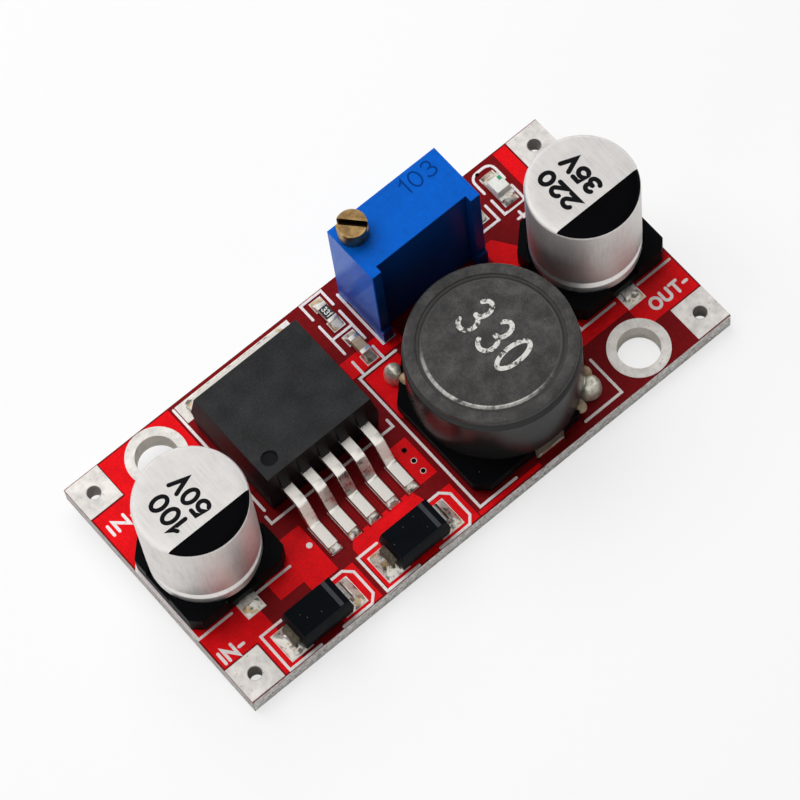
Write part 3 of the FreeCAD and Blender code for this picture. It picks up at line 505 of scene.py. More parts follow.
def shared(name):
    """The shared effect of that name, made the first time that a finish uses it."""
    makers = {"grain": make_grain, "specks": make_specks, "lines": make_drawn_lines}
    if name not in EFFECTS:
        EFFECTS[name] = makers[name]()
    return EFFECTS[name]


def tint(colour, share):
    """Colour made darker or lighter."""
    return [min(1.0, c * share) for c in colour]


class Finish:
    """Material with one Principled shader, read in Object coordinates."""

    def __init__(self, name, colour, roughness, metallic=0.0, coat=0.0, specular=0.5):
        self.material = bpy.data.materials.new(name)
        self.material.use_nodes = True
        self.tree = self.material.node_tree
        self.shader = self.tree.nodes["Principled BSDF"]
        self.place = self.add("ShaderNodeTexCoord").outputs["Object"]
        self.colour = colour
        for socket, value in (("Base Color", (*colour, 1.0)), ("Roughness", roughness), ("Metallic", metallic),
                              ("Coat Weight", coat), ("Coat Roughness", 0.1), ("IOR", 1.5),
                              ("Specular IOR Level", specular)):
            self.shader.inputs[socket].default_value = value

    def add(self, kind, values=None, **settings):
        return add_node(self.tree, kind, values, **settings)

    def effect(self, name, **values):
        return self.add("ShaderNodeGroup", {"Place": self.place, **values}, node_tree=shared(name)).outputs

    def ramp(self, value, low=0.0, high=1.0, start=0.0, end=1.0):
        """Value from start at low to end at high."""
        return self.add("ShaderNodeMapRange", {"Value": value, "From Min": low, "From Max": high,
                                               "To Min": start, "To Max": end}).outputs[0]

    def mix(self, mask, first, second):
        """Colour that goes from first to second with the mask."""
        first, second = (c if isinstance(c, bpy.types.NodeSocket) else (*c, 1.0) for c in (first, second))
        return self.add("ShaderNodeMix", {0: mask, 6: first, 7: second}, data_type="RGBA").outputs[2]

    def shade(self, mask, amount):
        """Base colour made darker and lighter by amount as the mask goes from 0 to 1."""
        dark, light = tint(self.colour, 1 - amount), tint(self.colour, 1 + amount)
        return self.feed("Base Color", self.mix(mask, dark, light))

    def grained(self, scale, patches, amount):
        """Base colour shaded by a grain; returns the grain's height."""
        grain = self.effect("grain", Scale=scale, Patches=patches)
        self.shade(self.ramp(grain["Shade"], 0.35, 0.65), amount)
        return grain["Height"]

    def cover(self, mask, colour):
        """Base colour as fed so far, under another one where the mask is 1."""
        base = self.shader.inputs["Base Color"].links[0].from_socket
        return self.feed("Base Color", self.mix(mask, base, colour))

    def feed(self, socket, output):
        self.tree.links.new(output, self.shader.inputs[socket])
        return self

    def bump(self, height, depth, strength=1.0):
        """Relief of depth millimetres from a height of 0 to 1; returns the material."""
        node = self.add("ShaderNodeBump", {"Height": height, "Distance": depth * MM, "Strength": strength})
        return self.feed("Normal", node.outputs[0]).material

    def axis(self, name):
        """One Object coordinate in millimetres."""
        return self.times(self.add("ShaderNodeSeparateXYZ", {0: self.place}).outputs[name], 1 / MM)

    def away(self, x, y, z):
        """Distance from a place given in millimetres, in metres."""
        return self.add("ShaderNodeVectorMath", {0: self.place, 1: Vector((x, y, z)) * MM},
                        operation="DISTANCE").outputs["Value"]

    def above(self, value, limit):
        return calc(self.tree, "GREATER_THAN", value, limit)

    def below(self, value, limit):
        return calc(self.tree, "LESS_THAN", value, limit)

    def times(self, first, second):
        return calc(self.tree, "MULTIPLY", first, second)


# Finishes

def grained_finish(name, colour, roughness, metallic=0.0, amount=0.12, scale=5.0, patches=0.8, relief=None,
                   dust=0.0, **more):
    """Even colour with a grain and, where wanted, a relief (depth, strength) and a share of pale dust."""
    f = Finish(name, colour, roughness, metallic, **more)
    height = f.grained(scale, patches, amount)
    if dust:
        f.cover(f.times(f.effect("specks", Scale=4.0, Size=0.14, Share=dust)["Mask"], 0.6), (0.22, 0.21, 0.20))
    return f.bump(height, *relief) if relief else f.material


def mask_finish(name, colour):
    """Glossy solder mask, a little uneven where it ran over the copper."""
    return grained_finish(name, colour, 0.25, amount=0.16, patches=0.7, relief=(0.012, 0.5), specular=0.05)


def board_finish(settings):
    """Etched mask on the faces and speckled glass laminate on the cut edge, with painted shade on the left
    edge.
    """
    f = Finish("board mask and laminate", settings.etched, 0.3, specular=0.05)
    height = f.axis("Z")
    face = calc(f.tree, "MAXIMUM", f.above(height, BOARD_TOP - 0.01), f.below(height, 0.01))
    weave = f.effect("grain", Scale=6.0, Patches=2.5)
    fibres = f.effect("lines", Stretch=(1.2, 1.2, 7.0))
    cut = f.mix(f.ramp(weave["Shade"], 0.38, 0.62), tint(settings.laminate, 0.62), tint(settings.laminate, 1.5))
    cut = f.mix(f.ramp(fibres["Lines"], 0.56, 0.74), cut, (0.34, 0.20, 0.15))
    # Painted shade: the cut edge at the board's left side is darkened.
    left = f.below(f.axis("X"), BOARD_LOW[0] + 0.05)
    cut = f.mix(f.times(left, 0.6), cut, tint(settings.laminate, 0.3))
    pits = f.effect("specks", Scale=2.6, Size=0.22, Share=0.4)
    cut = f.mix(f.times(pits["Mask"], 0.7), cut, (0.10, 0.085, 0.075))
    shaded = f.mix(f.ramp(weave["Shade"], 0.35, 0.65), tint(settings.etched, 0.85), tint(settings.etched, 1.15))
    f.feed("Base Color", f.mix(face, cut, shaded))
    f.feed("Roughness", f.ramp(face, start=0.85, end=0.35))
    return f.bump(weave["Height"], 0.02, 0.6)


def silk_finish(settings):
    """White print, thin enough in patches for the mask to show through."""
    f = Finish("printed white", settings.silk, 0.6)
    whole = f.ramp(f.effect("grain", Scale=6.0, Patches=1.5)["Height"], 0.25, 0.42)
    return f.feed("Base Color", f.mix(whole, (0.62, 0.35, 0.33), settings.silk)).material


def tin_finish(name, colour, roughness, spots=0.35, relief=0.03):
    """Tinned metal with dull spots and a shallow uneven surface."""
    f = Finish(name, colour, roughness, metallic=1.0)
    grain = f.effect("grain", Scale=3.5, Patches=0.9)
    f.shade(f.ramp(grain["Shade"], 0.38, 0.6), spots)
    f.feed("Roughness", f.ramp(grain["Shade"], 0.35, 0.65, roughness * 0.7, min(1.0, roughness * 1.5)))
    return f.bump(grain["Height"], relief, 0.5)


def solder_finish(settings):
    """Bright solder with dark spots and a little amber flux left on it."""
    f = Finish("solder", settings.solder, 0.26, metallic=0.5, specular=0.2)
    broad = f.effect("grain", Scale=1.3, Patches=0.9)
    near = f.effect("grain", Scale=2.6, Patches=1.7)
    dark = f.ramp(near["Shade"], 0.5, 0.4)
    flux = f.ramp(broad["Height"], 0.55, 0.62)
    tone = f.mix(dark, settings.solder, (0.16, 0.14, 0.12))
    f.feed("Base Color", f.mix(f.times(flux, 0.8), tone, (0.50, 0.33, 0.12)))
    return f.bump(near["Height"], 0.012, 0.5)


def pad_finish(settings):
    """Dull grey-beige tin on the bare pads, with dark pin pricks."""
    f = Finish("pad tin", settings.tin, 0.5, metallic=0.5)
    grain = f.effect("grain", Scale=2.2, Patches=0.8)
    pricks = f.effect("specks", Scale=3.0, Size=0.16, Share=0.25)
    base = f.mix(f.ramp(grain["Shade"], 0.36, 0.62), tint(settings.tin, 0.8), tint(settings.tin, 1.12))
    f.feed("Base Color", f.mix(f.times(pricks["Mask"], 0.5), base, (0.22, 0.17, 0.13)))
    return f.bump(grain["Height"], 0.02, 0.5)


def can_finish(name, settings, cy, top, chord):
    """Drawn aluminium: lines across the top disc, satin walls, and black ink below the chord."""
    f = Finish(name, settings.aluminium, 0.32, metallic=1.0, specular=0.03)
    lines = f.effect("lines", Stretch=(9.0, 0.5, 0.5))["Lines"]
    patches = f.effect("grain", Scale=1.5, Patches=0.5)["Shade"]
    height = f.axis("Z")
    inked = f.times(f.above(height, top - 0.2), f.below(f.axis("Y"), cy - chord))
    blend = f.times(f.ramp(lines, 0.3, 0.7), f.ramp(patches, 0.35, 0.65))
    bare = f.mix(blend, tint(settings.aluminium, 1.08), tint(settings.aluminium, 0.86))
    f.feed("Base Color", f.mix(inked, bare, (0.001, 0.001, 0.0015)))
    f.feed("Metallic", f.ramp(inked, start=0.92, end=0.0))
    satin = f.ramp(f.above(height, top - 0.05), start=0.5, end=0.42)
    f.feed("Roughness", f.ramp(inked, start=satin, end=0.25))
    return f.bump(lines, 0.004, 0.5)


def moulding_finish(name, colour, roughness, dust, specular):
    """Moulded resin with a fine grain and a little pale dust."""
    return grained_finish(name, colour, roughness, amount=0.25, scale=9.0, patches=0.5, relief=(0.012, 0.6),
                          dust=dust, specular=specular)


def chip_finish(settings, dimple):
    """Regulator moulding: grey top with dust and a painted sheen, dark sides and the pressed round mark at lead
    1.
    """
    f = Finish("regulator moulding", settings.chip, 0.5, specular=0.12)
    grain = f.effect("grain", Scale=7.0, Patches=0.6)
    dust = f.effect("specks", Scale=2.2, Size=0.07, Share=0.35)
    mark = f.ramp(f.away(*dimple), 0.58 * MM, 0.52 * MM)
    shaded = f.mix(f.ramp(grain["Shade"], 0.35, 0.65), tint(settings.chip, 0.6), tint(settings.chip, 1.5))
    dust_and_sheen_top = f.mix(f.times(dust["Mask"], 0.5), shaded, (0.12, 0.12, 0.115))
    # The top is painted lighter than the dark sides as a painted sheen; the specks on it are real dust.
    sides = f.mix(f.above(f.axis("Z"), dimple[2] - 0.02), (0.002, 0.002, 0.0025), dust_and_sheen_top)
    f.feed("Base Color", f.mix(mark, sides, (0.003, 0.003, 0.004)))
    return f.bump(calc(f.tree, "SUBTRACT", f.times(grain["Height"], 0.12), mark), 0.1, 0.8)


def bevel_highlight_finish(settings, middle_place):
    """Ferrite edge with a painted highlight on its left and front side, broken up by the grain."""
    f = Finish("bevel painted highlight", settings.ferrite, 0.3, specular=0.4)
    grain = f.effect("grain", Scale=2.4, Patches=0.8)
    across = calc(f.tree, "ADD", f.times(f.axis("X"), -0.8), f.times(f.axis("Y"), -0.6))
    offset = -0.8 * middle_place[0] - 0.6 * middle_place[1]
    # Painted highlight: the bevel turns pale towards the left and front, mottled by the grain.
    painted_highlight = f.times(f.ramp(across, offset + 1.2, offset + 4.6), f.ramp(grain["Shade"], 0.38, 0.56))
    return f.feed("Base Color", f.mix(painted_highlight, settings.ferrite, (0.66, 0.65, 0.61))).material


def ferrite_finish(settings, top):
    """Ground ferrite: grey grain on top, darker and smoother on the wall."""
    f = Finish("ferrite", settings.ferrite, 0.4, specular=0.3)
    fine = f.effect("grain", Scale=9.0, Patches=0.8)
    grain = f.effect("grain", Scale=3.0, Patches=0.4)
    dust = f.effect("specks", Scale=3.0, Size=0.10, Share=0.12)
    on_top = f.above(f.axis("Z"), top - 0.45)
    blend = f.times(f.ramp(fine["Shade"], 0.36, 0.64), f.ramp(grain["Shade"], 0.3, 0.6))
    ground = f.mix(blend, tint(settings.ferrite, 0.45), tint(settings.ferrite, 1.9))
    shade = f.mix(on_top, tint(settings.ferrite, 0.3), ground)
    f.feed("Base Color", f.mix(f.times(dust["Mask"], 0.5), shade, (0.20, 0.19, 0.18)))
    f.feed("Roughness", f.ramp(on_top, start=0.26, end=0.42))
    return f.bump(fine["Height"], 0.012, 0.6)


def trimmer_finish(settings):
    """Satin blue moulding, with painted shade on the recessed front."""
    f = Finish("trimmer blue", settings.blue, 0.24, specular=0.06)
    low, high = box("trimmer_case")
    height = f.grained(3.0, 0.5, 0.12)
    # Painted shade: the front 1.3 mm of the case, below the top face and right of the left face, is darkened to
    # deep navy.
    front = f.times(f.below(f.axis("Y"), low[1] + 1.3), f.below(f.axis("Z"), high[2] - 0.1))
    f.cover(f.times(front, f.above(f.axis("X"), low[0] + 0.12)), [c * 0.28 + 0.002 for c in settings.blue])
    return f.bump(height, 0.01, 0.5)


def brass_finish(settings):
    """Turned brass with stains, and painted shade that makes the screw's slot black."""
    f = Finish("screw brass", settings.brass, 0.34, metallic=1.0)
    lines = f.effect("lines", Stretch=(3.0, 3.0, 14.0))
    stain = f.effect("grain", Scale=3.0, Patches=1.6)
    tone = f.mix(f.ramp(stain["Shade"], 0.36, 0.6), (0.20, 0.12, 0.05), settings.brass)
    x, y, _ = middle("trimmer_screw")
    top = box("trimmer_screw")[1][2]
    # Painted shade: inside the slot, below the head's top, the brass is coloured nearly black.
    slot = f.times(f.below(f.away(x, y, top - 0.4), 1.06 * MM), f.below(f.axis("Z"), top - 0.1))
    f.feed("Base Color", f.mix(slot, tone, (0.035, 0.02, 0.01)))
    return f.bump(lines["Lines"], 0.01, 0.6)


def ink_finish(name, ink, ground, wear_low, wear_high, specular):
    """Printed ink, worn through to the ground colour in patches."""
    f = Finish(name, ink, 0.5, specular=specular)
    wear = f.ramp(f.effect("grain", Scale=5.0, Patches=1.6)["Shade"], wear_low, wear_high)
    return f.feed("Base Color", f.mix(wear, ground, ink)).material


def make_finishes(scene):
    """Every finish, once, from the settings."""
    board, metal, moulding = scene.power_module_board, scene.power_module_metal, scene.power_module_moulding
    top = box("regulator_body")[1][2]
    dimple = (middle("regulator_lead_1")[0] - 0.05, 0.93, top)
    MATERIALS.update(
        pour=mask_finish("mask over copper", board.mask),
        board=board_finish(board),
        silk=silk_finish(board),
        pads=pad_finish(metal),
        plating=tin_finish("hole tin", metal.lead, 0.4, 0.1),
        wire_hole=grained_finish("wire hole tin", tint(metal.tin, 0.62), 0.5, 0.3),
        clip=grained_finish("clip tin", (0.09, 0.075, 0.055), 0.55, 0.1, 0.6, specular=0.15),
        joint=grained_finish("wire joint tin", (0.74, 0.69, 0.58), 0.32, 0.5, 0.45),
        small_lead=tin_finish("diode lead tin", tint(metal.lead, 0.45), 0.3, 0.3),
        lead=tin_finish("lead tin", metal.lead, 0.3, 0.06, 0.003),
        solder=solder_finish(metal),
        black=moulding_finish("seat moulding", moulding.black, 0.4, 0.03, 0.03),
        chip=chip_finish(moulding, dimple),
        diode=moulding_finish("diode moulding", moulding.diode, 0.42, 0.05, 0.04),
        ferrite=ferrite_finish(moulding, box("inductor_shield_ring")[1][2]),
        # Bevel with a painted highlight on its left and front side.
        worn=bevel_highlight_finish(moulding, middle("inductor_shield_ring")),
        winding=grained_finish("enamelled wire", (0.35, 0.10, 0.03), 0.35, 0.6),
        blue=trimmer_finish(moulding),
        engraved=grained_finish("engraved blue", (0.0006, 0.045, 0.25), 0.5, specular=0.05),
        brass=brass_finish(metal),
        can_ink=ink_finish("can ink", (0.003, 0.003, 0.004), (0.05, 0.045, 0.045), 0.28, 0.34, 0.08),
        core_ink=ink_finish("core ink", (0.74, 0.72, 0.68), (0.055, 0.054, 0.05), 0.42, 0.50, 0.3),
        ceramic=grained_finish("white ceramic", (0.80, 0.79, 0.74), 0.5),
        tan=grained_finish("fired ceramic", (0.36, 0.28, 0.20), 0.42, amount=0.25),
        glaze=grained_finish("black glaze", (0.012, 0.012, 0.013), 0.22),
        lamp_base=grained_finish("lamp base", (0.72, 0.74, 0.66), 0.4),
        lamp=grained_finish("lamp resin", (0.83, 0.84, 0.77), 0.12, coat=0.5),
        lamp_mark=grained_finish("lamp mark", (0.02, 0.30, 0.13), 0.4),
        track=mask_finish("mask over a track", tint(board.mask, 0.5)),
        # Painted shade that stands for the open via holes.
        hole=grained_finish("via hole painted shade", (0.006, 0.002, 0.002), 0.8, specular=0.02),
        via=grained_finish("mask over a via", (0.34, 0.02, 0.02), 0.35, specular=0.1),
        wheel=grained_finish("wheel moulding", (0.70, 0.66, 0.55), 0.5),
        wiper=grained_finish("wiper alloy", (0.66, 0.50, 0.26), 0.28, 1.0),
        rubber=grained_finish("seal rubber", (0.02, 0.02, 0.02), 0.7),
        potting=grained_finish("potting resin", (0.02, 0.06, 0.22), 0.3),
        band=grained_finish("pressed band", (0.012, 0.014, 0.018), 0.5, amount=0.5),
        glue=grained_finish("dried glue", (0.46, 0.33, 0.20), 0.4, amount=0.4),
        gap=grained_finish("gap resin", (0.016, 0.015, 0.014), 0.5, amount=0.4),
    )


# Board

def board_prints():
    """Centre lines of the printed outlines, in plan."""
    lines = [
        [(-21.4, 2.35), (-20.0, 3.9)], [(-21.4, 2.35), (-21.4, -4.4), (-18.5, -4.4)],
        [(-16.29, -4.4), (-13.36, -4.4)],
        [(-12.07, 9.95), (-12.07, -0.07)], [(-12.3, -0.5), (-12.3, -1.14), (-1.45, -1.14), (-1.45, -0.5)],
        [(13.06, -3.9), (13.06, -4.3), (16.12, -4.3)], [(18.24, -4.3), (21.2, -4.3)],
        [(15.4, 5.14), (16.24, 5.14)], [(15.82, 4.72), (15.82, 5.56)],
        [(2.41, 3.14), (-0.85, 3.14), (-0.85, -9.71), (2.41, -9.71)],
        [(8.7, -9.71), (12.0, -9.71), (12.0, -6.45)],
        [(-16.2, -7.04), (-18.1, -7.04), (-18.1, -10.2), (-15.35, -10.2)],
        [(-11.9, -7.04), (-10.95, -7.04), (-10.36, -7.6), (-10.36, -9.66), (-10.9, -10.2), (-13.4, -10.2)],
        [(-7.86, -7.04), (-9.54, -7.04), (-9.54, -10.2), (-6.71, -10.2)],
        [(-3.29, -7.04), (-2.31, -7.04), (-1.74, -7.6), (-1.74, -9.66), (-2.2, -10.2), (-4.81, -10.2)],
        [(-0.42, 8.77), (-0.42, 10.17), (1.42, 10.17), (1.42, 8.77)],
        [(-0.42, 8.09), (-0.42, 5.29)], [(1.42, 8.09), (1.42, 5.29)], [(-0.42, 6.68), (1.42, 6.68)],
        [(-0.42, 4.45), (-0.42, 3.25)], [(1.42, 4.45), (1.42, 3.25)],
        [(2.1, 9.15), (2.1, 4.12), (3.1, 4.12)],
        [(14.94, 7.48), (14.94, 6.05), (16.8, 6.05), (16.8, 7.48)],
        [(12.7, 6.0), (14.35, 6.0), (14.35, 7.48)],
    ]
    cap = rounded([(14.92, 8.24, 0), (14.92, 9.86, 0.6), (16.8, 9.86, 0.6), (16.8, 8.24, 0)])
    return lines + [cap]


def round_hole(ring, start, right, left):
    """Outline split down the middle of a mounting hole into two that leave the hole free."""
    x, y, _ = middle(ring)
    low, high = start[0][1], right[-1][1]
    west_side = start + [(x, low)] + arc(x, y, HOLE_CLEARANCE, 270, 90, 24).tolist() + [(x, high)] + left
    east_side = [(x, low)] + right + [(x, high)] + arc(x, y, HOLE_CLEARANCE, 90, -90, 24).tolist()
    return west_side, east_side


def copper_pours():
    """Outlines of the copper that shows as bright mask."""
    west, south = BOARD_LOW[:2] + COPPER_MARGIN
    east, north = BOARD_HIGH[:2] - COPPER_MARGIN
    return [
        *round_hole("mounting_ring_left", [(west, 2.6)], [(-12.35, 2.6), (-12.35, north)],
                    [(-18.55, north), (-18.55, 7.2), (west, 7.2)]),
        [(west, -7.2), (-18.5, -7.2), (-18.5, south), (-16.9, south), (-16.9, -3.0), (west, -3.0)],
        [(-15.4, -5.9), (-13.35, -5.9), (-13.35, -6.75), (-11.0, -6.75), (-11.0, -2.45), (-15.4, -2.45)],
        [(-13.2, south), (-10.0, south), (-10.0, -7.0), (-13.2, -7.0)],
        [(-9.35, south), (-1.3, south), (-1.3, -6.95), (-3.3, -6.95), (-3.7, -5.6), (-8.8, -5.6),
         (-9.35, -6.3)],
        [(-2.9, -5.75), (-1.35, -5.75), (-1.35, -2.3), (-2.9, -2.3)],
        [(-0.6, -1.1), (2.4, -1.1), (2.4, 2.9), (-0.6, 2.9)],
        [(-1.25, 3.4), (3.4, 3.4), (3.4, 4.9), (-1.25, 4.9)],
        [(-1.2, south), (4.3, south), (4.3, -9.9), (-1.2, -9.9)],
        [(11.9, 5.2), (11.9, 2.3), (13.4, 2.3), (14.2, 3.3), (12.9, 5.2)],
        [(12.2, -5.35), (16.45, -5.35), (16.45, -7.2), (east, -7.2), (east, -3.4), (12.2, -3.4)],
        [(17.38, 4.3), (east, 4.3), (east, 7.2), (18.5, 7.2), (18.5, north), (17.38, north)],
    ]


def lead_places():
    """Middle of each regulator lead and its half width."""
    low, high = box("regulator_lead_1")
    leads = ["regulator_lead_1", "regulator_lead_2", "regulator_heat_tab", "regulator_lead_4",
             "regulator_lead_5"]
    return [middle(node)[0] for node in leads], (high[0] - low[0]) / 2, low[1]


def masked_pads():
    """Rectangles where the mask runs over a land: beside leads and tab, round the inductor clip and lamp."""
    places, half, toe = lead_places()
    strips = [(x + side * (half + 0.1) - 0.07, x + side * (half + 0.1) + 0.07, toe - 0.5, toe + 2.35)
              for x in places for side in (-1, 1)]
    tab_low, tab_high = box("regulator_heat_tab")
    clip_low, clip_high = box("inductor_terminal_front")
    lamp_low, lamp_high = box("led_terminals")
    return strips + [
        (tab_low[0] - 0.72, tab_low[0] + 0.05, 1.5, tab_high[1] - 0.9),
        (clip_low[0] - 1.6, clip_low[0], clip_low[1] - 0.2, clip_low[1] + 0.3),
        (clip_high[0], clip_high[0] + 1.6, clip_low[1] - 0.2, clip_low[1] + 0.3),
        (clip_low[0] - 0.1, clip_high[0] + 0.1, clip_low[1] - 0.36, clip_low[1] - 0.07),
        (lamp_low[0] - 0.05, lamp_high[0] + 0.05, lamp_high[1] + 0.46, lamp_high[1] + 0.75),
        (lamp_low[0] - 0.05, lamp_high[0] + 0.05, lamp_low[1] - 0.75, lamp_low[1] - 0.46)]


def lead_tracks():
    """Thin copper edges that show through the mask midway between leads."""
    places, _, toe = lead_places()
    return [(x - 0.03, x + 0.03, toe - 0.1, toe + 2.2) for left, right in zip(places, places[1:])
            for x in ((left + right) / 2 - 0.12, (left + right) / 2 + 0.14)]


def via_places():
    """Places of the drilled vias; the second and third have a bare rim."""
    return [(-2.03, -3.04), (-2.03, -4.07), (-2.03, -5.07), (15.5, 9.68)]


def build_board(context):
    width = context.scene.power_module_board.line_width / MM
    wire_pads = [end + "_pad" for end in ("in_plus", "in_minus", "out_plus", "out_minus")]
    rings = ["mounting_ring_left", "mounting_ring_right"]
    dress(["circuit_board"], "board")
    dress([*wire_pads, *rings, "component_pads"], "pads")
    pours = Bundle()
    for outline in copper_pours():
        pours.plate(np.array(outline), BOARD_TOP - 0.01, BOARD_TOP + LAYER)
    pours.build("copper_pours", "pour", slot="solder_mask")
    prints = Bundle()
    for k, line in enumerate(board_prints()):
        prints.line(line, width, BOARD_TOP, BOARD_TOP + 2 * LAYER + k * STEP)
    prints.plate(disc(-11.4, -4.1, 0.22), BOARD_TOP, BOARD_TOP + 2 * LAYER)
    for words, *place in (("IN+", -21.07, -18.3, 5.26, 6.31), ("IN-", -21.2, -19.14, -7.1, -5.96),
                          ("OUT-", 17.76, 21.15, -6.76, -5.67), ("OUT+", 17.76, 21.2, 5.2, 6.3)):
        prints.words(words, *place, BOARD_TOP + LAYER, 0.23)
    prints.build("board_print", "silk")
    tin, small, lands, dark = Bundle(), Bundle(), Bundle(), Bundle()
    for k, (x, y) in enumerate(via_places()):
        rim = tin if k in (1, 2) else lands
        rim.ring(x, y, 0.165, 0.215, BOARD_TOP, BOARD_TOP + 2 * LAYER)
        # A near-black disc over each via is painted shade for the open hole.
        dark.plate(disc(x, y, 0.17, 24), BOARD_TOP, BOARD_TOP + 3 * LAYER)
    for bundle, nodes, hole, steps in ((tin, rings, MOUNTING_HOLE, 64), (small, wire_pads, WIRE_HOLE, 32)):
        for node in nodes:
            x, y, _ = middle(node)
            bundle.ring(x, y, hole[0], hole[1], -LAYER, PAD_TOP, steps)
            bundle.ring(x, y, hole[1], hole[2], -LAYER, 0.0, steps)
    small.build("wire_hole_plating", "wire_hole", slot="tinned_copper")
    tin.build("hole_plating", "plating", slot="tinned_copper")
    lands.build("via_lands", "via")
    cover = Bundle()
    cover.plates(masked_pads(), PAD_TOP - 0.02, PAD_TOP + 0.01)
    cover.build("mask_over_pads", "board", slot="solder_mask")
    tracks = Bundle()
    tracks.plates(lead_tracks(), BOARD_TOP, BOARD_TOP + LAYER)
    tracks.build("lead_tracks", "track", slot="solder_mask")
    dark.build("via_hole_shade", "hole")


# Solder

def loop_outline(cx, cy, half_x, half_y, steps=56):
    """Rounded loop |x/a|^n + |y/b|^n = 1 round (cx, cy), with n = CORNER_POWER."""
    a = np.linspace(0, 2 * np.pi, steps, endpoint=False)
    c, s = np.cos(a), np.sin(a)
    x = cx + half_x * np.sign(c) * np.abs(c) ** (2 / CORNER_POWER)
    y = cy + half_y * np.sign(s) * np.abs(s) ** (2 / CORNER_POWER)
    return a, x, y


def fillet(outer, inner, z0, rise, seed, bend=1.9, rows=9):
    """Solder that climbs from a pad's loop to a lead's loop: height = rise * v^bend, loops mixed by v.

    outer and inner are (x0, x1, y0, y1) boxes; v runs from 0 on the pad to 1 at the lead.
    """
    v = np.linspace(0, 1, rows)[:, None]
    loops = []
    for x0, x1, y0, y1 in (outer, inner):
        a, x, y = loop_outline((x0 + x1) / 2, (y0 + y1) / 2, (x1 - x0) / 2, (y1 - y0) / 2)
        loops.append((x, y))
    uneven = wobble(a, seed, 0.10)
    ease = v ** (1 / uneven)
    x = loops[0][0] * (1 - ease) + loops[1][0] * ease
    y = loops[0][1] * (1 - ease) + loops[1][1] * ease
    z = z0 + rise * v ** bend * wobble(a, seed + 50, 0.08) + 0 * a
    return skin(np.stack([x, y, z], -1))


def lump(cx, cy, radius, z0, height, seed, rows=10):
    """Drop of solder: radius * cos(t)^0.75 at height * sin(t), t from 0 to 84 degrees, made uneven round it."""
    t = np.radians(np.linspace(0, 84, rows))[:, None]
    a = np.linspace(0, 2 * np.pi, 40, endpoint=False)
    r = radius * np.cos(t) ** 0.75 * wobble(a, seed, 0.07)
    z = z0 + height * np.sin(t) + 0 * a
    x = cx + r * np.cos(a)
    y = cy + r * np.sin(a)
    return skin(np.stack([x, y, z], -1))


def tip_joint(bundle, node, side, outer, inner, rise, seed, bend=1.9, from_middle=False):
    """Fillet at a node's front (side -1) or back (side 1) end.

    outer and inner say how far the loop is let out in x and how far it reaches inwards and outwards
    from the tip; from_middle counts x from the node's middle.
    """
    low, high = box(node)
    tip = high[1] if side > 0 else low[1]
    west, east = [(low[0] + high[0]) / 2] * 2 if from_middle else (low[0], high[0])
    loops = [(west - grow, east + grow, *sorted((tip - side * inwards, tip + side * outwards)))
             for grow, inwards, outwards in (outer, inner)]
    bundle.add(*fillet(*loops, PAD_TOP, rise, seed, bend))


